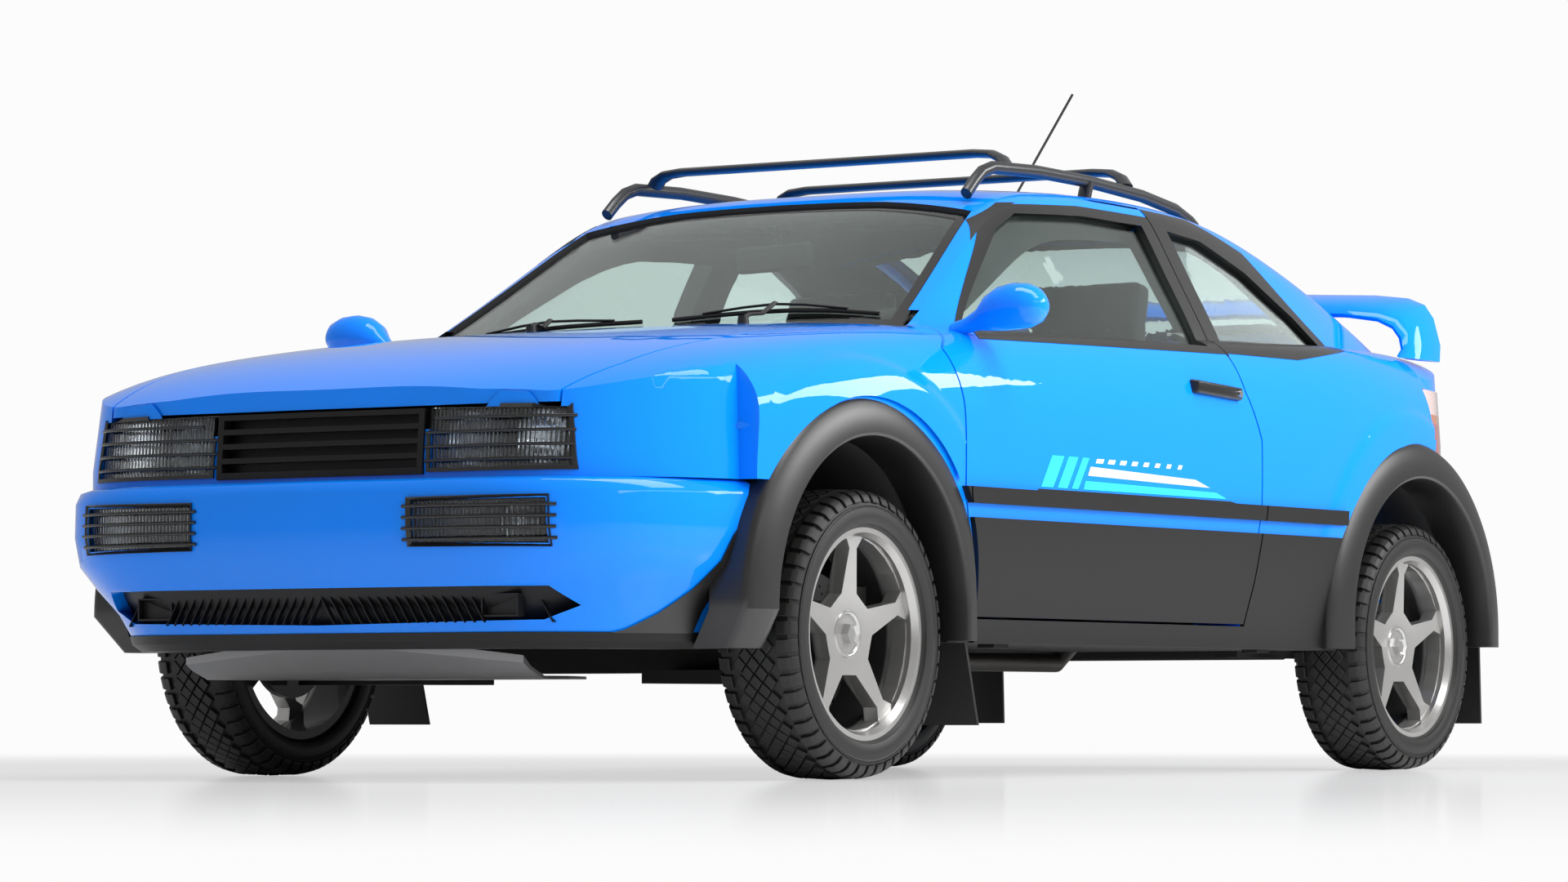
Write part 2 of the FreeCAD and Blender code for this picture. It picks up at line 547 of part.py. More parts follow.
def guard(layer, low, high, count, x_in, x_out):
    """Bars across one lamp, joined at their ends by upright legs that stand on the panel."""
    bars = []
    step = (high - low) / count
    for index in range(count):
        z = low + step * (index + 0.5)
        bars.append(block(x_in, x_out, -1000.0, -500.0, z - GUARD_BAR / 2, z + GUARD_BAR / 2))
    frame = bars[0].fuse(bars[1:])
    return layer.common(frame)


head_guard = guard(nose_layer(-22.0, -14.0), LAMP_OUTLINE[0][1], LAMP_OUTLINE[1][1], 3, 262.0, 612.0)
fog_guard = guard(bumper_layer(-22.0, -14.0), FOG_OUTLINE[0][1], FOG_OUTLINE[1][1], 3, 268.0, 590.0)
leg_zone = block(262.0, 274.0, -1000, -500, 640.0, 730.0).fuse(block(600.0, 612.0, -1000, -500, 640.0, 722.0))
head_legs = nose_layer(-20.0, -SEAT).common(leg_zone)
fog_leg_zone = block(266.0, 277.0, -1000, -500, 478.0, 548.0).fuse(block(586.0, 596.0, -1000, -500, 478.0, 548.0))
fog_legs = bumper_layer(-20.0, -SEAT).common(fog_leg_zone)
guards = [head_guard.fuse(head_legs), fog_guard.fuse(fog_legs)]
export("lamp_guards", solids_of(guards + [other_side(g) for g in guards]))

grille_holes = []
slat = (GRILLE_TOP - 612.0 - 12.0) / GRILLE_SLOTS
for index in range(GRILLE_SLOTS):
    z = 612.0 + 12.0 + slat * index
    grille_holes.append(block(-GRILLE_HALF + 14.0, GRILLE_HALF - 14.0, -1000, -500, z, z + slat - 11.0))
grille = nose_layer(-6.0, 26.0).common(grille_zone).cut(grille_holes[0].fuse(grille_holes[1:]))
grille_back = nose_layer(26.0, 32.0).common(grille_zone)
intake_frame = prism_y(grown(INTAKE_OUTLINE, 10.0), -1000.0, -500.0)
intake = bumper_layer(BUMPER_WALL + SEAT, BUMPER_WALL + 8.0).common(intake_frame)
export("grilles", solids_of([grille.fuse(grille_back), intake]))

# Rear bumper and tail lamps
rear_bumper = bumper_shell(REAR_BUMPER_PLAN, REAR_BUMPER_LEVELS, REAR_BUMPER_BACK, BUMPER_WALL)
export("rear_bumper", rear_bumper.cut(arches[1]).cut(arches[3]))


def tail_layer(outside, inside):
    """Layer of the tail between two depths under its skin."""
    levels = [(700.0, 0.0), (800.0, 0.0), (980.0, 8.0)]
    shallow = [(z, shrink + outside) for z, shrink in levels]
    deep = [(z, shrink + inside) for z, shrink in levels]
    return plan_solid(TAIL_PLAN, shallow, 2300.0).cut(plan_solid(TAIL_PLAN, deep, 2299.0))


export("tail_lamps", tail_layer(-3.0, 22.0).common(tail_lamp_zones).common(lower_body(-3.0)))

# Arch flares, side cladding and rub strips
flare_profile = [(0.0, FLARE_INNER), (FLARE_DEPTH - 6.0, FLARE_INNER), (FLARE_DEPTH, FLARE_INNER + 12.0),
                 (FLARE_DEPTH, FLARE_INNER + 60.0), (FLARE_DEPTH - 14.0, FLARE_OUTER - 8.0), (FLARE_DEPTH - 28.0, FLARE_OUTER),
                 (0.0, FLARE_OUTER)]


def flare(axle, front_leg, rear_leg, x_out):
    """Half ring over a wheel on the left, with a straight leg each side down to its own height."""
    x_in = x_out - FLARE_DEPTH
    centre = axle + ARCH_SHIFT
    ring = turned(flare_profile, x_in, centre, ARCH_Z).common(block(0, 1200, axle - 600, axle + 600, ARCH_Z, 1000))
    legs = []
    for sign, low in ((-1.0, front_leg), (1.0, rear_leg)):
        points = [Vector(x_in + a, at(centre + sign * r), ARCH_Z) for a, r in flare_profile]
        face = Part.Face(Part.makePolygon(points + points[:1]))
        legs.append(face.extrude(Vector(0, 0, low - ARCH_Z)))
    return ring.fuse(legs)


body_keep_out = lower_body(-SEAT)
flares = [flare(0.0, 265.0, 288.0, FLARE_STAND), flare(WHEELBASE, 288.0, 300.0, FLARE_STAND)]
flares = [f.cut(body_keep_out).cut(door_hole) for f in flares]
flares = [max(f.Solids, key=lambda solid: solid.Volume) for f in flares]
export("arch_flares", solids_of(flares + [other_side(f) for f in flares]))

cladding_layer = lower_body(-CLADDING_STAND).cut(body_keep_out)
strip_layer = lower_body(-STRIP_STAND).cut(body_keep_out)
cladding = cladding_layer.common(block(500.0, 1000.0, 0.0, WHEELBASE, GROUND_CLEARANCE, CLADDING_TOP))
strip = strip_layer.common(block(500.0, 1000.0, 0.0, 2060.0, *STRIP_Z))
flare_zones = [arch_cut(0.0, FLARE_OUTER + SEAT, 500.0), arch_cut(WHEELBASE, FLARE_OUTER + SEAT, 500.0)]
trim = solids_of([cladding, strip])
for zone in flare_zones:
    trim = trim.cut(zone)
door_trim = trim.common(door_zone)
body_trim = trim.cut(door_hole)
export("side_cladding", both_sides(body_trim))

handle = block(790.0, 838.0, 1330.0, 1540.0, 852.0, 878.0)
handle = handle.cut(lower_body(-SEAT))
door_trim = solids_of([door_trim, handle])
export("door_trim_left", door_trim)
export("door_trim_right", other_side(door_trim))

# Mirrors
mirror_rings = []
for y, x, z, rx, rz in MIRROR_STATIONS:
    ring = Part.Ellipse(Vector(0, 0, 0), max(rx, rz), min(rx, rz)).toShape()
    ring.rotate(Vector(0, 0, 0), Vector(1, 0, 0), 90.0)
    ring.translate(Vector(x, at(y), z))
    mirror_rings.append(Part.Wire([ring]))
mirror = Part.makeLoft(mirror_rings, True, False)
neck = rod((735.0, 462.0, 948.0), (870.0, 500.0, 985.0), 17.0)
mirror = mirror.fuse(neck).cut(lower_body(-SEAT)).cut(cabin_body(-SEAT))
mirror = max(mirror.Solids, key=lambda s: s.Volume)
export("mirror_left", mirror)
export("mirror_right", other_side(mirror))

# Rear wing
wing = prism_x(WING_SECTION, -WING_HALF, WING_HALF)
wing_end = prism_x(WING_END, WING_HALF - 12.0, WING_HALF)
wing_feet = wing_end.cut(lower_body(-SEAT)).cut(cabin_body(-SEAT))
wing = wing.fuse([wing_feet, other_side(wing_feet)])
wing = max(wing.cut(lower_body(-SEAT)).cut(cabin_body(-SEAT)).Solids, key=lambda s: s.Volume)
export("rear_wing", wing)

# Roof rack and antenna
rail_path = [(540.0, 890.0, 1290.0), (530.0, 1010.0, 1356.0), (528.0, 1467.0, 1366.0), (520.0, 1850.0, 1346.0), (512.0, 1989.0, 1308.0)]
rail = rod(rail_path[0], rail_path[1], RAIL_RADIUS)
for a, b in zip(rail_path[1:], rail_path[2:]):
    rail = rail.fuse(rod(a, b, RAIL_RADIUS)).fuse(Part.makeSphere(RAIL_RADIUS, Vector(a[0], at(a[1]), a[2])))
rail_foot = rod((528.0, 1467.0, 1300.0), (528.0, 1467.0, 1366.0), RAIL_RADIUS * 0.8)
rail = max(rail.fuse(rail_foot).cut(cabin_body(-SEAT)).Solids, key=lambda s: s.Volume)
bars = []
for y in CROSSBAR_Y:
    bar = block(-528.0, 528.0, y - 30.0, y + 30.0, CROSSBAR_Z - 18.0, CROSSBAR_Z)
    posts = block(500.0, 528.0, y - 24.0, y + 24.0, CROSSBAR_Z - 60.0, CROSSBAR_Z)
    bars.append(bar.fuse(both(posts)))
rack = rail.fuse(other_side(rail)).fuse(bars)
export("roof_rack", rack)
antenna = rod((0.0, 1892.0, 1318.0), (0.0, 2242.0, 1665.0), 3.2).fuse(rod((0.0, 1888.0, 1315.0), (0.0, 1905.0, 1332.0), 11.0))
export("antenna", max(antenna.cut(cabin_body(-SEAT)).Solids, key=lambda s: s.Volume))

# Wipers on the windscreen's foot
wiper_layer = cabin_body(-16.0).cut(cabin_body(-4.0))
wipers = []
for x0, x1 in ((60.0, 560.0), (-520.0, -20.0)):
    strip_zone = prism_z([(x0, 392.0), (x1, 448.0), (x1, 464.0), (x0, 408.0)], 900.0, 1300.0)
    wipers.append(wiper_layer.common(strip_zone))
export("wipers", solids_of(wipers))

# Mud flaps
flap_top = GROUND_CLEARANCE - SEAT
rear_flap_top = REAR_BUMPER_LEVELS[0][0] - SEAT
flaps = [prism_x([(404.0, flap_top), (412.0, flap_top), (462.0, 111.0), (454.0, 111.0)], 640.0, 806.0),
         prism_x([(2893.0, rear_flap_top), (2901.0, rear_flap_top), (2912.0, 112.0), (2904.0, 112.0)], 600.0, 780.0)]
export("mud_flaps", solids_of(flaps + [other_side(f) for f in flaps]))

# Seats, dashboard and steering wheel
seats = []
for x in (-SEAT_X, SEAT_X):
    cushion = block(x - 245.0, x + 245.0, 1080.0, 1560.0, FLOOR_TOP + 60.0, 540.0)
    base = block(x - 180.0, x + 180.0, 1130.0, 1530.0, FLOOR_TOP + SEAT, FLOOR_TOP + 60.0)
    back = prism_x([(1500.0, 520.0), (1610.0, 520.0), (1740.0, 980.0), (1670.0, 995.0)], x - 240.0, x + 240.0)
    rest = prism_x([(1668.0, 975.0), (1745.0, 965.0), (1772.0, 1140.0), (1700.0, 1150.0)], x - 150.0, x + 150.0)
    hole = prism_x([(1600.0, 1020.0), (1850.0, 1010.0), (1850.0, 1100.0), (1600.0, 1100.0)], x - 90.0, x + 90.0)
    seats.append(cushion.fuse([base, back, rest]).cut(hole))
export("front_seats", solids_of(seats))
rear_seat = prism_x([(1960.0 - 180.0, 400.0), (2230.0, 400.0), (2230.0, 860.0), (2160.0, 860.0), (2060.0, 560.0),
                     (1780.0, 560.0)], -540.0, 540.0)
export("rear_seat", rear_seat.common(block(-540, 540, 1700, 2300, BOOT_FLOOR_TOP + SEAT, 1000)).fuse(
    block(-540, 540, 1780.0, BOOT_FRONT - 2.0, FLOOR_TOP + SEAT, 560.0)))
dashboard = prism_x([(CABIN_FRONT + SEAT, 560.0), (560.0, 560.0), (700.0, 640.0), (740.0, 800.0), (690.0, 880.0),
                     (560.0, 925.0), (CABIN_FRONT + SEAT, 910.0)], -684.0, 684.0)
column = Vector(0, STEER_AXIS[1], STEER_AXIS[2])
hub = Vector(STEER_X, at(STEER_Y), STEER_Z)
column_hole = Part.makeCylinder(COLUMN_RADIUS + SEAT, 320.0, hub - column * 300.0, column)
export("dashboard", dashboard.cut(column_hole))

rim = Part.makeTorus(STEER_RADIUS, 15.0, hub, column)
boss = Part.makeCylinder(52.0, 34.0, hub - column * 30.0, column)
spoke_a = Part.makeBox(2 * STEER_RADIUS - 10.0, 30.0, 14.0, Vector(-STEER_RADIUS + 5.0, -15.0, -7.0))
spoke_b = Part.makeBox(30.0, STEER_RADIUS - 5.0, 14.0, Vector(-15.0, 0.0, -7.0))
spokes = spoke_a.fuse(spoke_b)
spokes.rotate(Vector(0, 0, 0), Vector(1, 0, 0), -math.degrees(math.atan2(STEER_AXIS[1], STEER_AXIS[2])))
spokes.translate(hub)
shaft = Part.makeCylinder(COLUMN_RADIUS, COLUMN_LENGTH, hub - column * COLUMN_LENGTH, column)
export("steering_wheel", rim.fuse([boss, spokes, shaft]))

# Engine, exhaust and tank
engine = block(-330.0, 330.0, -330.0, 190.0, BAY_LOW, 800.0)
export("engine_block", engine)
pipe = rod(EXHAUST_PATH[0], EXHAUST_PATH[1], PIPE_RADIUS)
for a, b in zip(EXHAUST_PATH[1:], EXHAUST_PATH[2:]):
    pipe = pipe.fuse(rod(a, b, PIPE_RADIUS)).fuse(Part.makeSphere(PIPE_RADIUS, Vector(a[0], at(a[1]), a[2])))
silencer = block(200.0, 480.0, 2740.0, 2960.0, 290.0, 400.0)
tailpipe = rod((400.0, 2950.0, 345.0), (400.0, 3130.0, 340.0), PIPE_RADIUS + 4.0)
export("exhaust", pipe.fuse([silencer, tailpipe]))

# Bay walls, subframe and front suspension
bay_wall = block(BAY_HALF_WIDTH, BAY_HALF_WIDTH + BAY_WALL, -600.0, BULKHEAD_Y - SEAT, BAY_LOW, TOWER_Z)
tower = block(BAY_HALF_WIDTH, 590.0, -50.0, 75.0, TOWER_Z, TOWER_Z + 12.0)
bay_wall = bay_wall.fuse(tower)
cross = block(-BAY_HALF_WIDTH, BAY_HALF_WIDTH, -600.0, -562.0, BAY_LOW, 600.0)
export("bay_frame", cross.fuse([bay_wall, other_side(bay_wall)]))
parts = []
for side in (1.0, -1.0):
    arm = prism_z([(side * 300.0, -60.0), (side * 300.0, 240.0), (side * 350.0, 240.0), (side * 560.0, 30.0),
                   (side * 640.0, 18.0), (side * 640.0, -18.0), (side * 560.0, -30.0), (side * 380.0, -60.0)],
                  198.0, KNUCKLE_LOW - SEAT)
    parts.append(arm)
cradle = block(-456.0, 456.0, 60.0, 280.0, 222.0, BAY_LOW - SEAT)
struts = []
for side in (1.0, -1.0):
    damper = rod((side * 592.0, 0.0, KNUCKLE_TOP + 4.0), (side * 520.0, 12.0, TOWER_Z + 10.0), 15.0)
    spring = rod((side * 557.0, 6.0, 622.0), (side * 527.0, 11.0, 765.0), 44.0)
    struts.append(damper.fuse(spring).cut(block(-700.0, 700.0, -100.0, 100.0, TOWER_Z - SEAT, TOWER_Z + 60.0)))
export("front_suspension", solids_of([cradle.fuse(parts)] + struts))

# Rear axle
beam = rod((-560.0, WHEELBASE - 190.0, 300.0), (560.0, WHEELBASE - 190.0, 300.0), 34.0)
axle = [beam]
for side in (1.0, -1.0):
    axle.append(block(min(side * 500, side * 560), max(side * 500, side * 560), WHEELBASE - 420.0, WHEELBASE + 40.0, 270.0, 330.0))
    axle.append(rod((side * 540.0, WHEELBASE, AXLE_Z), (side * (TRACK_HALF + 2.0), WHEELBASE, AXLE_Z), AXLE_RADIUS))
    axle.append(rod((side * 530.0, WHEELBASE + 20.0, 320.0), (side * 510.0, WHEELBASE + 30.0, 470.0), 24.0))
export("rear_axle", axle[0].fuse(axle[1:]))

# Wheels: profiles are (offset from the wheel's middle outwards, radius)
half = TYRE_WIDTH / 2.0
rim_half = RIM_WIDTH / 2.0
tyre_profile = [(-rim_half + 4 + SEAT, RIM_RADIUS + SEAT), (-rim_half + 4 + SEAT, RIM_RADIUS + 11), (-half + 10, RIM_RADIUS + 14), (-half, RIM_RADIUS + 42), (-half + 4, TYRE_RADIUS - 24),
                (-half + 14, TYRE_RADIUS - 6), (-half + 34, TYRE_RADIUS), (-30, TYRE_RADIUS), (-26, TYRE_RADIUS - 7), (-20, TYRE_RADIUS - 7),
                (-16, TYRE_RADIUS), (16, TYRE_RADIUS), (20, TYRE_RADIUS - 7), (26, TYRE_RADIUS - 7), (30, TYRE_RADIUS),
                (half - 34, TYRE_RADIUS), (half - 14, TYRE_RADIUS - 6), (half - 4, TYRE_RADIUS - 24), (half, RIM_RADIUS + 42),
                (half - 10, RIM_RADIUS + 14), (rim_half - 4 - SEAT, RIM_RADIUS + 11), (rim_half - 4 - SEAT, RIM_RADIUS + SEAT)]
barrel_profile = [(-rim_half, RIM_RADIUS + 10), (-rim_half + 4, RIM_RADIUS + 10), (-rim_half + 4, RIM_RADIUS), (rim_half - 4, RIM_RADIUS),
                  (rim_half - 4, RIM_RADIUS + 10), (rim_half, RIM_RADIUS + 10), (rim_half, RIM_RADIUS - 6), (rim_half - 14, RIM_RADIUS - 14),
                  (-rim_half, RIM_RADIUS - 14)]
dish_profile = [(SPOKE_FACE, 0.0), (SPOKE_FACE + 2.0, 60.0), (SPOKE_FACE + 18.0, RIM_RADIUS - 10.0), (SPOKE_FACE - 16.0, RIM_RADIUS - 10.0),
                (SPOKE_FACE - 34.0, 70.0), (HUB_BACK, 70.0), (HUB_BACK, 0.0)]


def wheel(side, axle):
    """Tyre, rim and brake disc on one end of an axle."""
    x = side * TRACK_HALF
    def place(profile):
        return turned([(side * a, r) for a, r in profile], x, axle, AXLE_Z)
    tyre = place(tyre_profile)
    barrel = place(barrel_profile)
    dish = place(dish_profile)
    gaps = []
    for index in range(SPOKES):
        angle = 360.0 / SPOKES * (index + 0.5)
        gap = prism_x([(-26.0, 84.0), (26.0, 84.0), (92.0, 150.0), (92.0, 178.0), (50.0, 192.0), (0.0, 197.0), (-50.0, 192.0), (-92.0, 178.0), (-92.0, 150.0)],
                      x - 120.0, x + 120.0)
        gap.translate(Vector(0, axle, AXLE_Z))
        gap.rotate(Vector(x, at(axle), AXLE_Z), Vector(1, 0, 0), angle)
        gaps.append(gap)
    dish = dish.cut(gaps[0].fuse(gaps[1:]))
    bore = rod((x - side * 100.0, axle, AXLE_Z), (x + side * 6.0, axle, AXLE_Z), AXLE_RADIUS + AXLE_CLEARANCE)
    rim = barrel.fuse(dish).cut(bore)
    disc = place([(DISC_BACK, DISC_RADIUS), (DISC_BACK + DISC_THICKNESS, DISC_RADIUS), (DISC_BACK + DISC_THICKNESS, 70.0),
                  (HUB_BACK - SEAT, 70.0), (HUB_BACK - SEAT, 0.0), (HUB_BACK - 10.0, 0.0), (HUB_BACK - 10.0, 62.0), (DISC_BACK, 62.0)])
    return tyre, rim, disc.cut(bore)


for name, side, axle_y in (("fl", 1.0, 0.0), ("fr", -1.0, 0.0), ("rl", 1.0, WHEELBASE), ("rr", -1.0, WHEELBASE)):
    tyre, rim, disc = wheel(side, axle_y)
    export("tyre_" + name, tyre)
    export("rim_" + name, solids_of([rim, disc]))

# Knuckles
for name, side in (("fl", 1.0), ("fr", -1.0)):
    x0 = side * KNUCKLE_IN
    x1 = side * (TRACK_HALF + DISC_BACK - 8.0)
    low, high = min(x0, x1), max(x0, x1)
    upright = block(low, high, -40.0, 40.0, KNUCKLE_LOW, 400.0)
    clamp = block(low, high, -24.0, 24.0, 400.0, KNUCKLE_TOP)
    stub = rod((x1, 0.0, AXLE_Z), (side * (TRACK_HALF + 2.0), 0.0, AXLE_Z), AXLE_RADIUS)
    steer_arm = block(min(side * 560.0, x1), max(side * 560.0, x1), 40.0, 120.0, 280.0, 300.0)
    caliper_x = (side * (TRACK_HALF + DISC_BACK - 34.0), side * (TRACK_HALF + DISC_BACK + DISC_THICKNESS + 30.0))
    caliper = block(min(caliper_x), max(caliper_x), 84.0, 152.0, AXLE_Z - 10.0, AXLE_Z + 100.0)
    slot = block(min(side * (TRACK_HALF + DISC_BACK - 6.0), side * (TRACK_HALF + DISC_BACK + DISC_THICKNESS + 6.0)),
                 max(side * (TRACK_HALF + DISC_BACK - 6.0), side * (TRACK_HALF + DISC_BACK + DISC_THICKNESS + 6.0)),
                 60.0, DISC_RADIUS + 6.0, AXLE_Z - 40.0, AXLE_Z + 140.0)
    bracket = block(low, high, 30.0, 152.0, AXLE_Z + 10.0, AXLE_Z + 60.0)
    knuckle = upright.fuse([clamp, stub, steer_arm, caliper, bracket]).cut(slot)
    export("knuckle_" + name, knuckle)
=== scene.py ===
"""Looks of a small two-door coupe in rally trim, built round its CAD frame.

Metres and degrees. X points to the car's left, -Y forward and Z up. Heights are over the ground.
"""

import math

import bmesh
import bpy
from mathutils import Matrix, Vector
from mathutils.bvhtree import BVHTree


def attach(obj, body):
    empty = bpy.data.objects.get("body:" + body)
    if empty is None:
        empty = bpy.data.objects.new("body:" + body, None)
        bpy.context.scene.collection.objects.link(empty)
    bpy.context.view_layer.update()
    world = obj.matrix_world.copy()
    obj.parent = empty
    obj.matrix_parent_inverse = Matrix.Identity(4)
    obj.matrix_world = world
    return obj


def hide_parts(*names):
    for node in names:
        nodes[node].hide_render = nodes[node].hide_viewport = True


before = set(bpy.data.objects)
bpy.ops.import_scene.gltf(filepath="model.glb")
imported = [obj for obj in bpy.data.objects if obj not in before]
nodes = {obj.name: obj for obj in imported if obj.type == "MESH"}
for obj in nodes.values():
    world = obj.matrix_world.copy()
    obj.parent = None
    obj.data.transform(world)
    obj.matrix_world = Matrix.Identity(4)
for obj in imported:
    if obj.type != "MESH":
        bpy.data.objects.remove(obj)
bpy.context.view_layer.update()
scene = bpy.context.scene


# Camera. The photograph looks slightly up at the front left corner from near the floor with a long lens.
CAMERA_PLACE = (6.9159, -10.7764, 0.1297)
CAMERA_YAW = 33.2128
CAMERA_PITCH = 2.8308
LENS_MM = 127.87
SENSOR_MM = 36.0
FAR_CLIP = 200.0

camera = bpy.data.objects.new("camera", bpy.data.cameras.new("camera"))
scene.collection.objects.link(camera)
camera.location = CAMERA_PLACE
camera.rotation_euler = (math.radians(90.0 + CAMERA_PITCH), 0.0, math.radians(CAMERA_YAW))
camera.data.lens = LENS_MM
camera.data.sensor_width = SENSOR_MM
camera.data.clip_end = FAR_CLIP
scene.camera = camera


# Body shell. Pressed steel panels and plastic bumpers in one bright blue lacquer. The colour coat is matt,
# so all the gloss comes from the clear coat over it, in sharp pale streaks.
LACQUER_BLUE = "067EF2"
PRESSED_PANELS = ("bonnet", "door_left", "door_right", "roof", "side_frames", "tailgate")
ROUNDED_PANELS = ("front_wings", "front_bumper", "rear_bumper")
ROUNDED_EDGE_ANGLE = 52.0
WELD_GAP = 0.00002


def linear(text):
    """Linear RGBA of an sRGB hex colour."""
    parts = [int(text[i:i + 2], 16) / 255.0 for i in (0, 2, 4)]
    return [p / 12.92 if p <= 0.04045 else ((p + 0.055) / 1.055) ** 2.4 for p in parts] + [1.0]


def add_node(tree, kind, settings=None, links=None):
    """Add one node, set its properties or inputs, and link other nodes' outputs to its inputs."""
    node = tree.nodes.new(kind)
    for key, value in (settings or {}).items():
        if isinstance(key, int) or key in node.inputs:
            node.inputs[key].default_value = value
        else:
            setattr(node, key, value)
    for key, source in (links or {}).items():
        tree.links.new(source, node.inputs[key])
    return node


def finish(name, colour, roughness, metallic=0.0, coat=0.0, grain=None, mottle=0.0, **extra):
    """Material of one real finish, with slight mottling of its colour and a fine grain in its bump.

    grain is (size in metres, strength) of the surface's fine bumps.
    """
    material = bpy.data.materials.new(name)
    material.use_nodes = True
    tree = material.node_tree
    shader = tree.nodes["Principled BSDF"]
    base = linear(colour)
    settings = {"Base_Color": base, "Roughness": roughness, "Metallic": metallic, "Coat_Weight": coat,
                "Coat_Roughness": 0.02, **extra}
    for key, value in settings.items():
        shader.inputs[key.replace("_", " ")].default_value = value
    place = add_node(tree, "ShaderNodeTexCoord").outputs["Object"]
    if mottle:
        noise = add_node(tree, "ShaderNodeTexNoise", {"Scale": 6.0, "Detail": 4.0}, {"Vector": place})
        dark = [c * (1.0 - mottle) for c in base[:3]] + [1.0]
        mix = add_node(tree, "ShaderNodeMix", {"data_type": "RGBA", 6: base, 7: dark},
                       {0: noise.outputs["Fac"]})
        tree.links.new(mix.outputs[2], shader.inputs["Base Color"])
    if grain:
        size, strength = grain
        bumps = add_node(tree, "ShaderNodeTexNoise", {"Scale": 1.0 / size, "Detail": 2.0}, {"Vector": place})
        bump = add_node(tree, "ShaderNodeBump", {"Strength": strength, "Distance": size * 0.2},
                        {"Height": bumps.outputs["Fac"]})
        tree.links.new(bump.outputs["Normal"], shader.inputs["Normal"])
    return material


def dress(material, names, sharp_above=28.0):
    """Give CAD nodes a finish, weld their loose triangles and keep only their real edges sharp."""
    for name in names:
        node = nodes[name]
        for slot in node.material_slots:
            slot.material = material
        weld = node.modifiers.new("weld", "WELD")
        weld.merge_threshold = WELD_GAP
        split = node.modifiers.new("edges", "EDGE_SPLIT")
        split.split_angle = math.radians(sharp_above)
        split.use_edge_sharp = False
        for polygon in node.data.polygons:
            polygon.use_smooth = True


blue_lacquer = finish("blue_lacquer", LACQUER_BLUE, 0.4, coat=1.0, Specular_IOR_Level=0.0, Coat_IOR=1.38)
dress(blue_lacquer, PRESSED_PANELS)
dress(blue_lacquer, ROUNDED_PANELS, sharp_above=ROUNDED_EDGE_ANGLE)


# Glazing. Tempered float glass with a faint green tint, polished, so that the cabin shows through it.
tinted_glass = finish("tinted_glass", "DCEBE7", 0.0, Transmission_Weight=1.0, IOR=1.45)
dress(tinted_glass, ("fixed_glass", "door_glass_left", "door_glass_right", "rear_glass"))


# Black trim. Lip, grille, cladding, rub strips and antenna are moulded in polypropylene with a fine
# spark-eroded grain, which looks dark grey and only dimly reflects the floor.
grained_polypropylene = finish("grained_polypropylene", "121111", 0.42, grain=(0.0012, 0.2), mottle=0.08,
                               Specular_IOR_Level=0.3)
dress(grained_polypropylene, ("antenna", "door_trim_left", "door_trim_right", "front_lip", "grilles",
                              "side_cladding"))


# Underside and engine bay. Sprayed underseal is rough and nearly black, the castings are dull dark iron,
# the exhaust is stained steel tube, the skid plate satin aluminium sheet, and the mud flaps moulded rubber.
black_underseal = finish("black_underseal", "0C0C0D", 0.75, grain=(0.004, 0.4))
cast_iron = finish("cast_iron", "2B2A29", 0.6, metallic=0.6, grain=(0.002, 0.4))
dull_steel = finish("dull_steel", "6A6763", 0.45, metallic=1.0, mottle=0.3)
satin_aluminium = finish("satin_aluminium", "9C9C9E", 0.32, metallic=1.0, grain=(0.002, 0.08))
moulded_rubber = finish("moulded_rubber", "111111", 0.6, grain=(0.0015, 0.3))
dress(black_underseal, ("bay_frame", "floor_and_bulkhead", "rear_axle"))
dress(cast_iron, ("engine_block", "front_suspension", "knuckle_fl", "knuckle_fr"))
dress(dull_steel, ("exhaust",))
dress(satin_aluminium, ("skid_plate",))
dress(moulded_rubber, ("mud_flaps",))


# Dashboard and steering wheel. Vinyl with a leather-like grain, dark and dull against glare.
grained_vinyl = finish("grained_vinyl", "161617", 0.55, grain=(0.0015, 0.4))
dress(grained_vinyl, ("dashboard", "steering_wheel"))


# Tyres. Each is an all-terrain cover of moulded rubber: a plain sidewall with a raised double ring, a row
# of square shoulder lugs on each side, and a lattice of diamond blocks across the tread. Sizes are half
# widths and radii; the rubber is a dusty near-black.
FRONT_AXLE = -1.1532
WHEEL_BASE = 2.470
TRACK_HALF = 0.73
AXLE_HEIGHT = 0.298
WHEEL_PLACES = {"fl": (TRACK_HALF, FRONT_AXLE, 1.0), "fr": (-TRACK_HALF, FRONT_AXLE, -1.0),
                "rl": (TRACK_HALF, FRONT_AXLE + WHEEL_BASE, 1.0),
                "rr": (-TRACK_HALF, FRONT_AXLE + WHEEL_BASE, -1.0)}
TYRE_RADIUS = 0.298
GROOVE_RADIUS = 0.2895
PITCHES = 50
PITCH = math.tau / PITCHES
BLOCK_GAP = 0.0022
BLOCK_ROOT = 0.002
BLOCK_REACH = TYRE_RADIUS * PITCH * 0.5 - BLOCK_GAP
BLOCK_NARROWING = 0.90
COLUMN_STEP = BLOCK_REACH * 1.02
CROWN_DROP = 0.0007
WORN = 0.0004
LUG_SHARE = 0.72
MERGE = 0.00001
CARCASS = [(0.0, 0.2895), (0.062, 0.2885), (0.080, 0.2850), (0.0895, 0.2740), (0.0925, 0.2655),
           (0.0955, 0.2650), (0.0960, 0.2630), (0.0945, 0.2620), (0.0960, 0.2605), (0.0955, 0.2585),
           (0.0950, 0.2570), (0.0978, 0.2460), (0.0975, 0.2350), (0.0930, 0.2255), (0.0890, 0.2235),
           (0.0865, 0.2215), (0.0815, 0.2150), (0.0700, 0.2130)]
LUG = [(0.0580, 0.2965), (0.0780, 0.2925), (0.0890, 0.2850), (0.0955, 0.2720), (0.0945, 0.2690),
       (0.0850, 0.2720), (0.0560, 0.2860)]
ORIGIN = (0.0, 0.0, 0.0)
ALONG_X = (1.0, 0.0, 0.0)


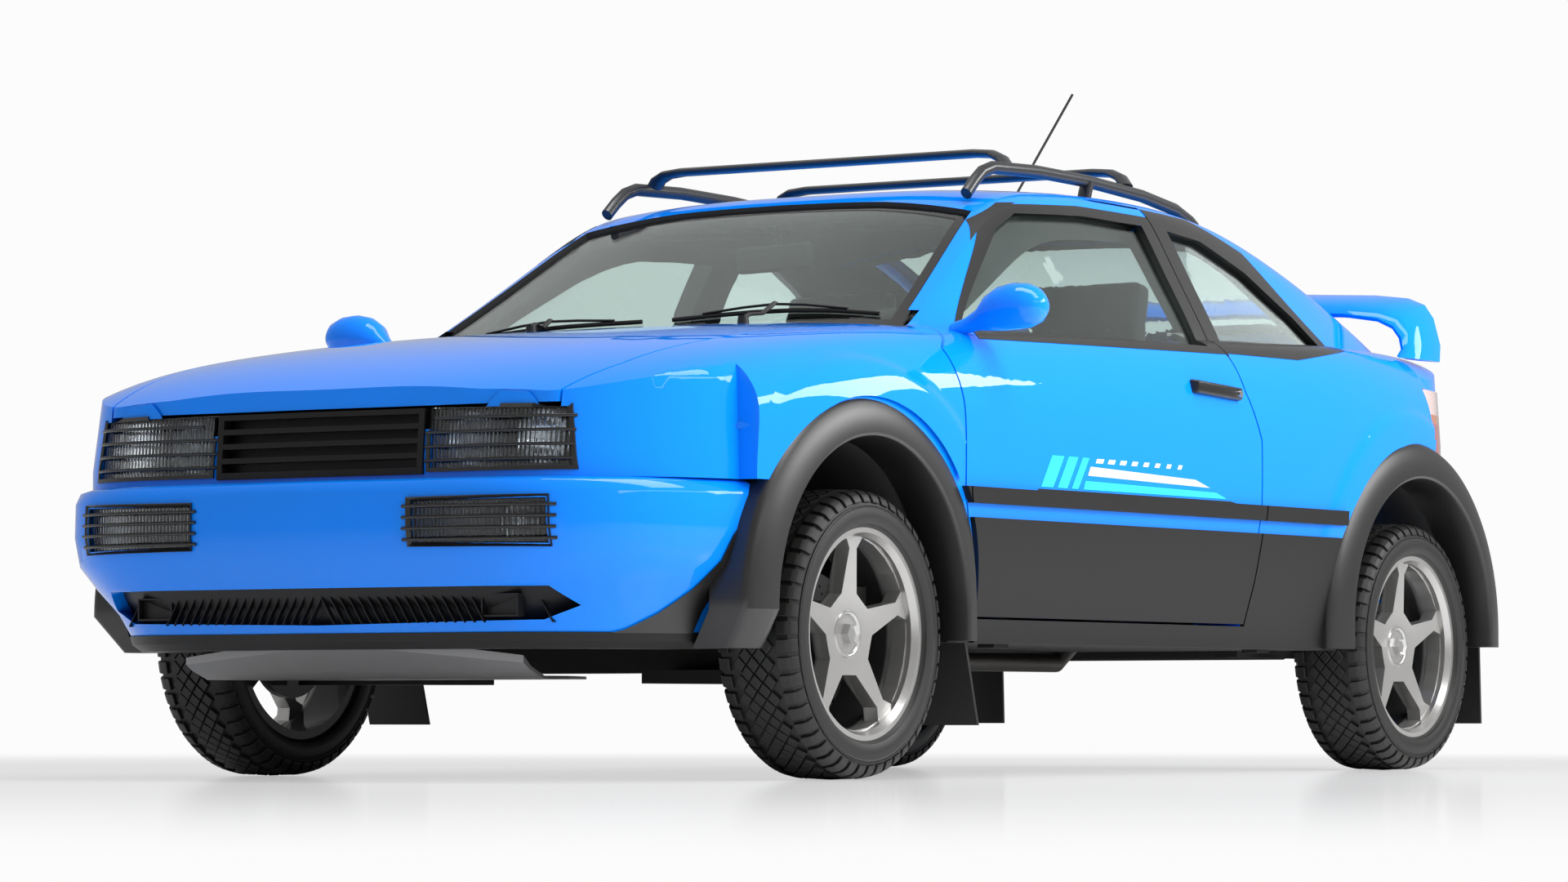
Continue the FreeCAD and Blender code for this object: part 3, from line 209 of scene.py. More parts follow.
def revolved(bm, points, centre, axis, steps, angle=math.tau):
    """Skin of a row of points spun about an axis; a full turn closes on itself."""
    row = [bm.verts.new(p) for p in points]
    lines = [bm.edges.new(pair) for pair in zip(row, row[1:])]
    bmesh.ops.spin(bm, geom=row + lines, cent=centre, axis=axis, angle=angle, steps=steps,
                   use_merge=angle == math.tau)
    bmesh.ops.remove_doubles(bm, verts=bm.verts, dist=MERGE)


def everything(bm):
    """All the verts, edges and faces of a bmesh."""
    return bm.verts[:] + bm.edges[:] + bm.faces[:]


def corners(geometry):
    """The verts in an operator's result."""
    return [v for v in geometry if isinstance(v, bmesh.types.BMVert)]


def faces_of(verts):
    """The faces that verts lie on."""
    return list({f for v in verts for f in v.link_faces})


def bevelled(bm, edges, offset, segments=3):
    """Round edges off."""
    bmesh.ops.bevel(bm, geom=edges, offset=offset, segments=segments, profile=0.5, affect="EDGES",
                    material=-1)


def mirrored(bm):
    """Turn a bmesh into its own image on the other side of the car."""
    bmesh.ops.scale(bm, vec=(-1.0, 1.0, 1.0), verts=bm.verts)
    bmesh.ops.reverse_faces(bm, faces=bm.faces)


def added(bm, other):
    """Move another bmesh's geometry into a bmesh."""
    mesh = bpy.data.meshes.new("joined")
    other.to_mesh(mesh)
    other.free()
    bm.from_mesh(mesh)
    bpy.data.meshes.remove(mesh)


def new_piece(name, bm, finishes, body, stands_for=None, smooth=True):
    """Object of a finished bmesh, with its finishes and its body. It may stand for a CAD node."""
    mesh = bpy.data.meshes.new(name)
    bm.to_mesh(mesh)
    bm.free()
    piece = bpy.data.objects.new(name, mesh)
    scene.collection.objects.link(piece)
    for each in finishes:
        mesh.materials.append(each)
    if smooth:
        for polygon in mesh.polygons:
            polygon.use_smooth = True
        split = piece.modifiers.new("edges", "EDGE_SPLIT")
        split.split_angle = math.radians(32.0)
    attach(piece, body)
    if stands_for:
        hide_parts(stands_for)
    return piece


cover_bm = bmesh.new()
profile = [(-x, 0.0, r) for x, r in reversed(CARCASS)] + [(x, 0.0, r) for x, r in CARCASS[1:]]
revolved(cover_bm, profile, ORIGIN, ALONG_X, 120)
bmesh.ops.recalc_face_normals(cover_bm, faces=cover_bm.faces)

blocks = bmesh.new()
for column in (-2, -1, 0, 1, 2):
    base = bmesh.ops.create_circle(blocks, cap_ends=True, segments=4, radius=BLOCK_REACH)["verts"]
    bmesh.ops.scale(blocks, vec=(BLOCK_NARROWING, 1.0, 1.0), verts=base)
    bmesh.ops.translate(blocks, vec=(column * COLUMN_STEP, 0.0, GROOVE_RADIUS - BLOCK_ROOT), verts=base)
    top = corners(bmesh.ops.extrude_face_region(blocks, geom=faces_of(base))["geom"])
    height = TYRE_RADIUS - GROOVE_RADIUS + BLOCK_ROOT - WORN - CROWN_DROP * abs(column)
    bmesh.ops.translate(blocks, vec=(0.0, 0.0, height), verts=top)
    top_edges = list({e for v in top for e in v.link_edges if all(w in top for w in e.verts)})
    stagger = Matrix.Rotation(PITCH * 0.5 * (column % 2), 4, "X")
    bmesh.ops.transform(blocks, matrix=stagger, verts=base + top)
    bevelled(blocks, top_edges, 0.0012, segments=1)
for side in (-1.0, 1.0):
    outline = [blocks.verts.new((side * x, 0.0, r)) for x, r in LUG]
    face = blocks.faces.new(outline)
    start = Matrix.Rotation(-PITCH * LUG_SHARE * 0.5, 4, "X")
    bmesh.ops.transform(blocks, matrix=start, verts=outline)
    span = bmesh.ops.spin(blocks, geom=[face], cent=ORIGIN, axis=ALONG_X, angle=PITCH * LUG_SHARE, steps=1)
    lug_faces = faces_of(outline + corners(span["geom_last"]))
    bevelled(blocks, list({e for f in lug_faces for e in f.edges}), 0.0011, segments=1)
bmesh.ops.recalc_face_normals(blocks, faces=blocks.faces)
bmesh.ops.spin(blocks, geom=everything(blocks), cent=ORIGIN, axis=ALONG_X, angle=math.tau - PITCH,
               steps=PITCHES - 1, use_duplicate=True)
added(cover_bm, blocks)

cover_rubber = finish("cover_rubber", "171716", 0.5, grain=(0.0009, 0.25), mottle=0.25)
for name, (wheel_x, wheel_y, outward) in WHEEL_PLACES.items():
    placed = cover_bm.copy()
    if outward < 0.0:
        mirrored(placed)
    bmesh.ops.rotate(placed, cent=ORIGIN, matrix=Matrix.Rotation(PITCH * 0.25, 3, "X"), verts=placed.verts)
    bmesh.ops.translate(placed, vec=(wheel_x, wheel_y, AXLE_HEIGHT), verts=placed.verts)
    new_piece("cover_" + name, placed, [cover_rubber], "wheel_" + name, "tyre_" + name)
cover_bm.free()


# Wheel rims. Cast five-spoke wheels in silver lacquer with a fine metal flake. The barrel behind the spokes
# has painted shade: from the spokes' back inward the silver fades to near-black, less metallic and rougher.
SPOKE_BACK_X = 0.756
FULL_SHADE_X = 0.738
silver_lacquer = finish("silver_lacquer", "B2B1B0", 0.28, metallic=0.85, coat=0.6)
barrel_painted_shade = finish("silver_lacquer_painted_shade", "B6B5B3", 0.3, metallic=0.2, coat=0.5)
tree = barrel_painted_shade.node_tree
shader = tree.nodes["Principled BSDF"]
place = add_node(tree, "ShaderNodeTexCoord").outputs["Object"]
axes = add_node(tree, "ShaderNodeSeparateXYZ", links={0: place})
outwards = add_node(tree, "ShaderNodeMath", {"operation": "ABSOLUTE"}, {0: axes.outputs["X"]})
# Painted shade: near-black colour, less metal and more roughness inward of the spokes' back.
recess_shade = add_node(tree, "ShaderNodeMapRange",
                {"From Min": FULL_SHADE_X, "From Max": SPOKE_BACK_X, "To Min": 1.0, "To Max": 0.0},
                {"Value": outwards.outputs[0]}).outputs[0]
lacquer = add_node(tree, "ShaderNodeMix", {"data_type": "RGBA", 6: linear("B6B5B3"), 7: linear("1C1C1C")},
                   {0: recess_shade})
shine = add_node(tree, "ShaderNodeMapRange", {"To Min": 0.8, "To Max": 0.2}, {"Value": recess_shade})
rough = add_node(tree, "ShaderNodeMapRange", {"To Min": 0.3, "To Max": 0.7}, {"Value": recess_shade})
flake = add_node(tree, "ShaderNodeTexNoise", {"Scale": 900.0, "Detail": 1.0}, {"Vector": place})
flake_bump = add_node(tree, "ShaderNodeBump", {"Strength": 0.06, "Distance": 0.0003},
                      {"Height": flake.outputs["Fac"]})
tree.links.new(lacquer.outputs[2], shader.inputs["Base Color"])
tree.links.new(shine.outputs[0], shader.inputs["Metallic"])
tree.links.new(rough.outputs[0], shader.inputs["Roughness"])
tree.links.new(flake_bump.outputs[0], shader.inputs["Normal"])
dress(barrel_painted_shade, ["rim_" + name for name in WHEEL_PLACES])


# Brake discs. Iron, with three rings of drilled holes that show as black dots, set just in front of the CAD
# discs.
DISC_INSET = 0.0403
DISC_EDGE = 0.128
DISC_PROFILE = [(-0.0006, 0.066), (0.0006, 0.070), (0.0010, DISC_EDGE - 0.001), (0.0004, DISC_EDGE),
                (-0.0006, DISC_EDGE)]
HOLE_RINGS = ((0.088, 15, 0.0), (0.101, 15, 0.13), (0.114, 15, 0.26))
HOLE_RADIUS = 0.0034
HOLE_X = 0.0013


def painted(verts, index):
    """Give the faces on verts another of the piece's finishes."""
    for face in faces_of(verts):
        face.material_index = index


drilled_iron = finish("drilled_iron", "4A4A4B", 0.38, metallic=0.8, grain=(0.0008, 0.2), mottle=0.2)
drill_shadow = finish("drill_shadow", "050505", 0.9)
for name, (wheel_x, wheel_y, outward) in WHEEL_PLACES.items():
    disc = bmesh.new()
    revolved(disc, [(x, 0.0, r) for x, r in DISC_PROFILE], ORIGIN, ALONG_X, 96)
    bmesh.ops.recalc_face_normals(disc, faces=disc.faces)
    for radius, count, start in HOLE_RINGS:
        for index in range(count):
            turn = start + math.tau * index / count
            spot = Matrix.Translation((HOLE_X, radius * math.cos(turn), radius * math.sin(turn)))
            hole = bmesh.ops.create_circle(disc, cap_ends=True, segments=14, radius=HOLE_RADIUS,
                                           matrix=spot @ Matrix.Rotation(math.pi / 2, 4, "Y"))["verts"]
            painted(hole, 1)
    if outward < 0.0:
        mirrored(disc)
    bmesh.ops.translate(disc, vec=(wheel_x - outward * DISC_INSET, wheel_y, AXLE_HEIGHT), verts=disc.verts)
    new_piece("disc_" + name, disc, [drilled_iron, drill_shadow], "wheel_" + name, smooth=False)


# Wheel arch liners. Black moulded plastic shells inside each wheel opening, held by the wings. They hide
# the painted inside of the panels and stop a little short of the flare's inner edge.
ARCH_CENTRE = (-0.028, 0.342)
LINER_RADIUS = 0.3604
LINER_INNER = {"f": 0.462, "r": 0.566}
LINER_OUTER = 0.785
for name, (wheel_x, wheel_y, outward) in WHEEL_PLACES.items():
    liner = bmesh.new()
    centre = (0.0, wheel_y + ARCH_CENTRE[0], ARCH_CENTRE[1])
    ends = [(outward * x, centre[1] + LINER_RADIUS, centre[2]) for x in (LINER_INNER[name[0]], LINER_OUTER)]
    revolved(liner, ends, centre, ALONG_X, 48, angle=math.pi)
    bmesh.ops.recalc_face_normals(liner, faces=liner.faces)
    liner_piece = new_piece("liner_" + name, liner, [black_underseal], "body")
    wall = liner_piece.modifiers.new("wall", "SOLIDIFY")
    wall.thickness = 0.0012
    wall.offset = 0.0


# Wheel centres. A shallow ring is turned round the middle of each rim, with a hollow six-sided cap in it,
# both in the rim's silver lacquer.
HUB_RING = [(0.0005, 0.050), (0.0035, 0.048), (0.0040, 0.045), (0.0030, 0.042), (0.0006, 0.040),
            (0.0006, 0.036)]
CAP_WIDE, CAP_NARROW = 0.0245, 0.0225
CAP_HEIGHT = 0.016
CAP_MIDDLE = 0.0075
CAP_RIM = 0.007
CAP_HOLLOW = 0.005


def skin_tree(*names):
    """Tree of the merged triangles of some CAD nodes, for finding where a line meets their skin."""
    joined = bmesh.new()
    for name in names:
        joined.from_mesh(nodes[name].data)
    bmesh.ops.remove_doubles(joined, verts=joined.verts, dist=WELD_GAP)
    tree = BVHTree.FromBMesh(joined)
    joined.free()
    return tree


def from_side(tree, sign, y, z):
    """Place and normal where a line in from one side of the car first meets a skin, or None twice."""
    place, normal, _, _ = tree.ray_cast(Vector((sign * 1.25, y, z)), Vector((-sign, 0.0, 0.0)), 0.9)
    return place, normal


for name, (wheel_x, wheel_y, outward) in WHEEL_PLACES.items():
    spot, _ = from_side(skin_tree("rim_" + name), outward, wheel_y + 0.030, AXLE_HEIGHT)
    face_x = abs(spot.x)
    hub = bmesh.new()
    ring = [(face_x + dx, wheel_y + r, AXLE_HEIGHT) for dx, r in HUB_RING]
    revolved(hub, ring, (0.0, wheel_y, AXLE_HEIGHT), ALONG_X, 64)
    stand = Matrix.Translation((face_x + CAP_MIDDLE, wheel_y, AXLE_HEIGHT))
    cap = bmesh.ops.create_cone(hub, cap_ends=True, segments=6, radius1=CAP_WIDE, radius2=CAP_NARROW,
                                depth=CAP_HEIGHT,
                                matrix=stand @ Matrix.Rotation(math.pi / 2, 4, "Y"))["verts"]
    top = [f for f in faces_of(cap) if len(f.verts) == 6 and f.calc_center_median().x > face_x + CAP_MIDDLE]
    bmesh.ops.inset_region(hub, faces=top, thickness=CAP_RIM, depth=0.0)
    bmesh.ops.translate(hub, vec=(-CAP_HOLLOW, 0.0, 0.0), verts=list({v for f in top for v in f.verts}))
    bmesh.ops.recalc_face_normals(hub, faces=hub.faces)
    if outward < 0.0:
        mirrored(hub)
    new_piece("hub_cap_" + name, hub, [silver_lacquer], "wheel_" + name)


# Arch blisters. The wings and quarters are pressed out into a raised band round each wheel opening, with a
# soft shoulder along its outer edge. Each is a sheet of the body's own steel, laid on the CAD panel and
# painted with it. The profile is in pairs of radius and height, and it runs out toward the end of the band.
SIDES = (("left", 1.0), ("right", -1.0))
BLISTER_PROFILE = [(0.440, 0.0085), (0.462, 0.0086), (0.484, 0.0085), (0.500, 0.0083), (0.509, 0.0076),
                   (0.515, 0.0063), (0.520, 0.0045), (0.525, 0.0027), (0.530, 0.0013), (0.536, 0.0004),
                   (0.545, 0.0001)]
BLISTER_START = 4.0
BLISTER_FADE = 45.0
PAINT_THICKNESS = 0.0001
FLANK_X = 0.66
FLANK_FACING = 0.15


def turned_outward(bm, sign):
    """Make an open sheet's faces look away from the car's middle."""
    bmesh.ops.recalc_face_normals(bm, faces=bm.faces)
    if sum(f.normal.x for f in bm.faces) * sign < 0.0:
        bmesh.ops.reverse_faces(bm, faces=bm.faces)


for end, axle, panel, stop in (("front", FRONT_AXLE, "front_wings", 138.0),
                               ("rear", FRONT_AXLE + WHEEL_BASE, "side_frames", 176.0)):
    skin = skin_tree(panel)
    centre = Vector((0.0, axle + ARCH_CENTRE[0], ARCH_CENTRE[1]))
    start = Matrix.Rotation(math.radians(BLISTER_START), 3, "X")
    row = [centre + start @ Vector((0.0, radius, 0.0)) for radius, _ in BLISTER_PROFILE]
    for side, sign in SIDES:
        band = bmesh.new()
        revolved(band, row, centre, ALONG_X, 120, angle=math.radians(stop - BLISTER_START))
        missed = []
        for v in band.verts:
            out = v.co - centre
            reach = math.hypot(out.y, out.z)
            height = min(BLISTER_PROFILE, key=lambda pair: abs(pair[0] - reach))[1]
            left = (stop - math.degrees(math.atan2(out.z, out.y))) / BLISTER_FADE
            fade = min(1.0, max(0.0, left))
            fade = fade * fade * (3.0 - 2.0 * fade)
            spot, normal = from_side(skin, sign, v.co.y, v.co.z)
            if spot is None or abs(spot.x) < FLANK_X or normal.x * sign < FLANK_FACING:
                missed.append(v)
            else:
                v.co = spot + normal * max(PAINT_THICKNESS, height * fade)
        bmesh.ops.delete(band, geom=missed, context="VERTS")
        turned_outward(band, sign)
        new_piece("blister_" + end + "_" + side, band, [blue_lacquer], "body")


# Window surrounds. The door's frame above the belt and the rim of the quarter pane are covered in satin
# black film, and a rubber seal lies on the side frame behind the door's edge. The screens have a black
# ceramic border on the glass, which is darker and glossier than the film.
CUT_DISTANCE = 0.000001


def inside(spot, polygon):
    """Whether a point lies in a polygon."""
    hit = False
    for (ax, ay), (bx, by) in zip(polygon, polygon[1:] + polygon[:1]):
        if (ay > spot[1]) != (by > spot[1]) and spot[0] < (bx - ax) * (spot[1] - ay) / (by - ay) + ax:
            hit = not hit
    return hit


def cut_from(name, outline, lift=0.0009, facing=None, in_plan=False, hole=None):
    """Copy of a CAD node's skin inside a convex outline, lifted off it along its normals.

    The outline has (y, z) points of the side view, or (x, y) points of the plan. A hole in it is left out.
    facing takes a face's normal and its middle, and tells whether the face is kept.
    """
    bm = bmesh.new()
    bm.from_mesh(nodes[name].data)
    bmesh.ops.remove_doubles(bm, verts=bm.verts, dist=WELD_GAP)
    sight = Vector((0.0, 0.0, 1.0)) if in_plan else Vector(ALONG_X)
    for points, clear in ((outline, True), (hole or [], False)):
        flat = [Vector((a, b, 0.0)) if in_plan else Vector((0.0, a, b)) for a, b in points]
        for a, b in zip(flat, flat[1:] + flat[:1]):
            across = (b - a).cross(sight)
            if across.dot(sum(flat, Vector()) / len(flat) - a) > 0.0:
                across = -across
            bmesh.ops.bisect_plane(bm, geom=everything(bm), dist=CUT_DISTANCE, plane_co=a, plane_no=across,
                                   clear_outer=clear)
    gone = []
    for face in bm.faces:
        middle = face.calc_center_median()
        spot = (middle.x, middle.y) if in_plan else (middle.y, middle.z)
        if (facing and not facing(face.normal, middle)) or (hole and inside(spot, hole)):
            gone.append(face)
    bmesh.ops.delete(bm, geom=gone, context="FACES")
    bm.normal_update()
    for v in bm.verts:
        v.co += v.normal * lift
    return bm


def from_axle(points):
    """Side view points with the distance from the front axle turned into the frame's own Y."""
    return [(FRONT_AXLE + y, z) for y, z in points]


def both_sides(half):
    """Plan outline of both sides from its left half, with distances from the front axle."""
    points = [(x, FRONT_AXLE + y) for x, y in half]
    return points + [(-x, y) for x, y in reversed(points) if x > 0.0]


DOOR_FRAME = from_axle([(0.500, 0.932), (1.62, 0.957), (1.62, 1.279), (1.25, 1.283), (0.972, 1.268),
                        (0.868, 1.222)])
DOOR_SEAL = from_axle([(0.500, 0.930), (1.57, 0.952), (1.57, 1.283), (1.25, 1.288), (0.972, 1.272),
                       (0.860, 1.226)])
QUARTER_RIM = from_axle([(1.562, 1.300), (1.797, 1.293), (2.014, 1.229), (2.137, 1.112), (2.251, 1.003),
                         (1.909, 0.961), (1.562, 0.958)])
SCREEN_AREA = both_sides([(0.80, 0.30), (0.80, 0.96)])
SCREEN_CLEAR = both_sides([(0.0, 0.372), (0.330, 0.384), (0.592, 0.452), (0.497, 0.876), (0.275, 0.899),
                           (0.0, 0.906)])
HATCH_AREA = both_sides([(0.80, 1.95), (0.80, 2.80)])
HATCH_CLEAR = both_sides([(0.0, 2.056), (0.412, 2.062), (0.484, 2.590), (0.0, 2.640)])
satin_black_film = finish("satin_black_film", "161617", 0.34, coat=0.25, grain=(0.0008, 0.06))
ceramic_border = finish("ceramic_border", "08090A", 0.12, coat=0.6)
for side, _ in SIDES:
    door_frame = cut_from("door_" + side, DOOR_FRAME)
    new_piece("door_frame_" + side, door_frame, [satin_black_film], "door_" + side)
quarter_rims = cut_from("side_frames", QUARTER_RIM, facing=lambda n, c: abs(c.x) > 0.5)
new_piece("quarter_rims", quarter_rims, [satin_black_film], "body")
door_seals = cut_from("side_frames", DOOR_SEAL, lift=0.0007, facing=lambda n, c: abs(c.x) > 0.4)
new_piece("door_seals", door_seals, [moulded_rubber], "body")
for name, pane, area, clear, body in (
        ("windscreen_border", "fixed_glass", SCREEN_AREA, SCREEN_CLEAR, "body"),
        ("rear_glass_border", "rear_glass", HATCH_AREA, HATCH_CLEAR, "tailgate")):
    border = cut_from(pane, area, lift=0.0004, in_plan=True, hole=clear)
    new_piece(name, border, [ceramic_border], body)


# Cabin linings. Moulded vinyl cards cover the inner faces of the sides, doors and tailgate, a grey knitted
# cloth the roof, and needle felt the floor. Each is a thin layer on the inner face of its CAD panel.
LINING_LIFT = 0.0012
CABIN_SIDE = from_axle([(0.41, 0.32), (2.99, 0.32), (2.99, 1.40), (0.41, 1.40)])
DOOR_CARD = from_axle([(0.30, 0.30), (1.72, 0.30), (1.72, 0.955), (0.30, 0.928)])
DOOR_UPPER = from_axle([(0.30, 0.960), (1.62, 0.975), (1.62, 1.40), (0.30, 1.40)])
ROOF_MIDDLE_Z = 1.05
lining_cloth = finish("lining_cloth", "26272A", 0.9, grain=(0.0015, 0.3), mottle=0.1)
door_card_vinyl = finish("door_card_vinyl", "17181A", 0.6, grain=(0.0016, 0.4))
needle_felt = finish("needle_felt", "121213", 0.95, grain=(0.003, 0.6))
LININGS = (
    ("roof_lining", "roof", lining_cloth, "body",
     lambda n, c: n.x * c.x + n.z * (c.z - ROOF_MIDDLE_Z) < 0.0),
    ("side_linings", "side_frames", door_card_vinyl, "body",
     lambda n, c: n.x * c.x < -0.02 and abs(c.x) < 0.80 or n.z < -0.1 and c.z > 0.93),
    ("floor_carpet", "floor_and_bulkhead", needle_felt, "body", lambda n, c: n.z > 0.3 and c.z < 0.6),
    ("tailgate_lining", "tailgate", door_card_vinyl, "tailgate", lambda n, c: n.z < -0.2))
for name, panel, cover, body, facing in LININGS:
    lining = cut_from(panel, CABIN_SIDE, lift=LINING_LIFT, facing=facing)
    new_piece(name, lining, [cover], body)
for side, sign in SIDES:
    door = "door_" + side
    card = cut_from(door, DOOR_CARD, lift=LINING_LIFT, facing=lambda n, c: n.x * sign < -0.5)
    new_piece("door_card_" + side, card, [door_card_vinyl], door)
    upper = cut_from(door, DOOR_UPPER, lift=0.0010, facing=lambda n, c: n.x * sign < -0.1)
    new_piece("door_frame_lining_" + side, upper, [door_card_vinyl], door)


# Sill underseal. The turned-under lower edges of the sides and the floor are sprayed with the same black
# sealer.
SILL_EDGE = from_axle([(-0.90, 0.15), (3.10, 0.15), (3.10, 0.296), (-0.90, 0.296)])
for name in ("side_frames", "floor_and_bulkhead"):
    sealed = cut_from(name, SILL_EDGE, lift=0.0006)
    new_piece("underseal_" + name, sealed, [black_underseal], "body")


# Arch flares. Charcoal polypropylene mouldings screwed over each wheel opening: a conical face that leans
# out, a rolled outer edge and a leg down each side. The section is spun over the wheel and drawn down into
# the legs, and the front flares' leading legs tuck in at the foot. A satin face catches a dull highlight
# along its top.
FLARE_INNER = 0.358
FLARE_FACE_X = 0.862
LEG_TUCK = (-0.060, 0.030, 0.0)
FLARE_SECTION = [(-0.112, 0.0), (-0.008, 0.0), (-0.003, 0.0025), (0.0, 0.008), (-0.001, 0.022),
                 (-0.006, 0.046), (-0.014, 0.070), (-0.022, 0.083), (-0.030, 0.089), (-0.037, 0.090),
                 (-0.112, 0.090)]
DOOR_GAP_PLACE = (0.0, FRONT_AXLE + 0.3655, 0.54)
DOOR_GAP_FACING = (0.0, 1.0, 0.02)
flare_plastic = finish("flare_plastic", "131212", 0.36, grain=(0.0010, 0.12), mottle=0.06, IOR=1.6)
for end, axle, front_low, rear_low in (("front", FRONT_AXLE, 0.265, 0.288),
                                       ("rear", FRONT_AXLE + WHEEL_BASE, 0.288, 0.300)):
    centre = Vector((0.0, axle + ARCH_CENTRE[0], ARCH_CENTRE[1]))
    for side, sign in SIDES:
        flare = bmesh.new()
        outline = [flare.verts.new(centre + Vector((FLARE_FACE_X + dx, FLARE_INNER + dr, 0.0)))
                   for dx, dr in FLARE_SECTION]
        section = flare.faces.new(outline)
        spun = bmesh.ops.spin(flare, geom=[section], cent=centre, axis=ALONG_X, angle=math.pi, steps=64)
        leading = [f for f in spun["geom_last"] if isinstance(f, bmesh.types.BMFace)]
        for faces, low in (([section], rear_low), (leading, front_low)):
            foot = corners(bmesh.ops.extrude_face_region(flare, geom=faces)["geom"])
            bmesh.ops.delete(flare, geom=faces, context="FACES_ONLY")
            bmesh.ops.translate(flare, vec=(0.0, 0.0, low - centre.z), verts=foot)
            if end == "front" and faces is leading:
                bmesh.ops.translate(flare, vec=LEG_TUCK, verts=foot)
        if end == "front":
            cut = bmesh.ops.bisect_plane(flare, geom=everything(flare), dist=CUT_DISTANCE,
                                         plane_co=DOOR_GAP_PLACE, plane_no=DOOR_GAP_FACING, clear_outer=True)
            rim = [e for e in cut["geom_cut"] if isinstance(e, bmesh.types.BMEdge)]
            bmesh.ops.holes_fill(flare, edges=rim)
        bmesh.ops.recalc_face_normals(flare, faces=flare.faces)
        if sign < 0.0:
            mirrored(flare)
        new_piece("flare_" + end + "_" + side, flare, [flare_plastic], "body", "arch_flares")


# Door mirrors. Each is a teardrop shell in body colour on a curved neck, with the silvered glass set flat
# into its back. A section is its place x, y and z and its half sizes along Y and Z.
MIRROR_SECTIONS = [(0.738, 0.474, 0.950, 0.022, 0.017), (0.765, 0.482, 0.960, 0.020, 0.017),
                   (0.792, 0.490, 0.973, 0.025, 0.024), (0.812, 0.494, 0.986, 0.038, 0.038),
                   (0.840, 0.496, 0.994, 0.048, 0.047), (0.875, 0.497, 0.998, 0.053, 0.050),
                   (0.910, 0.496, 0.998, 0.050, 0.047), (0.935, 0.494, 0.997, 0.040, 0.037),
                   (0.949, 0.492, 0.996, 0.024, 0.022), (0.954, 0.491, 0.996, 0.008, 0.008)]
MIRROR_BACK = 0.524
MIRROR_GLASS = (0.056, 0.036, 1.0)
MIRROR_GLASS_PLACE = (0.877, 0.998)


def circle(count):
    """Points round a circle of radius 1, as pairs."""
    return [(math.cos(math.tau * k / count), math.sin(math.tau * k / count)) for k in range(count)]


def loft(bm, rings):
    """Skin through rings of points, closed at both ends."""
    loops = []
    for ring in rings:
        verts = [bm.verts.new(p) for p in ring]
        loops.append([bm.edges.new(pair) for pair in zip(verts, verts[1:] + verts[:1])])
    for one, two in zip(loops, loops[1:]):
        bmesh.ops.bridge_loops(bm, edges=one + two)
    for loop in (loops[0], loops[-1]):
        bmesh.ops.contextual_create(bm, geom=loop)
    bmesh.ops.recalc_face_normals(bm, faces=bm.faces)


mirror_silver = finish("mirror_silver", "DDE2E4", 0.02, metallic=1.0)
for side, sign in SIDES:
    shell = bmesh.new()
    loft(shell, [[(x, FRONT_AXLE + min(y - half_y * c, MIRROR_BACK), z + half_z * s) for c, s in circle(24)]
                 for x, y, z, half_y, half_z in MIRROR_SECTIONS])
    if sign < 0.0:
        mirrored(shell)
    new_piece("mirror_shell_" + side, shell, [blue_lacquer], "door_" + side, "mirror_" + side)
    pane = bmesh.new()
    place = Vector((sign * MIRROR_GLASS_PLACE[0], FRONT_AXLE + MIRROR_BACK + 0.0008, MIRROR_GLASS_PLACE[1]))
    bmesh.ops.create_circle(pane, cap_ends=True, segments=40, radius=1.0)
    bmesh.ops.scale(pane, vec=MIRROR_GLASS, verts=pane.verts)
    bmesh.ops.rotate(pane, cent=ORIGIN, matrix=Matrix.Rotation(math.radians(-90.0), 3, "X"), verts=pane.verts)
    bmesh.ops.translate(pane, vec=place, verts=pane.verts)
    bmesh.ops.recalc_face_normals(pane, faces=pane.faces)
    new_piece("mirror_pane_" + side, pane, [mirror_silver], "door_" + side)


# Rear wing. A moulded blade in body colour, crowned in the middle and turned down into an end plate each
# side, on two upright feet that are bolted to the tailgate. A section has its front, its rear and the way
# it faces.
WING_SECTIONS = [
    ((0.0, 2.596, 1.142), (0.0, 2.792, 1.192), (0.0, 1.0)),
    ((0.300, 2.600, 1.137), (0.300, 2.788, 1.187), (0.0, 1.0)),
    ((0.560, 2.606, 1.122), (0.560, 2.782, 1.174), (0.0, 1.0)),
    ((0.648, 2.612, 1.108), (0.655, 2.774, 1.162), (0.12, 1.0)),
    ((0.688, 2.620, 1.088), (0.700, 2.768, 1.144), (0.5, 0.86)),
    ((0.706, 2.628, 1.060), (0.722, 2.768, 1.112), (0.92, 0.4)),
    ((0.716, 2.620, 1.030), (0.736, 2.776, 1.046), (1.0, 0.1)),
    ((0.720, 2.590, 1.006), (0.742, 2.760, 1.004), (1.0, 0.0))]
BLADE = [(0.0, 0.0), (0.04, 0.28), (0.16, 0.46), (0.34, 0.50), (0.6, 0.42), (0.85, 0.28), (0.985, 0.14),
         (1.0, 0.0), (0.985, -0.12), (0.85, -0.24), (0.6, -0.34), (0.34, -0.44), (0.16, -0.42), (0.04, -0.26)]
WING_THICK = 0.040
WING_CLEARANCE = 0.007
WING_FOOT = (0.018, 0.090, 0.160)
WING_FOOT_PLACE = (0.440, FRONT_AXLE + 2.690, 1.072)


def from_above(tree, x, y):
    """Place where a line down through the car first meets a skin, or None."""
    return tree.ray_cast(Vector((x, y, 1.6)), Vector((0.0, 0.0, -1.0)), 1.1)[0]


def block(bm, size, place=ORIGIN):
    """Add a box; its verts."""
    verts = bmesh.ops.create_cube(bm, size=1.0)["verts"]
    bmesh.ops.scale(bm, vec=size, verts=verts)
    bmesh.ops.translate(bm, vec=place, verts=verts)
    return verts


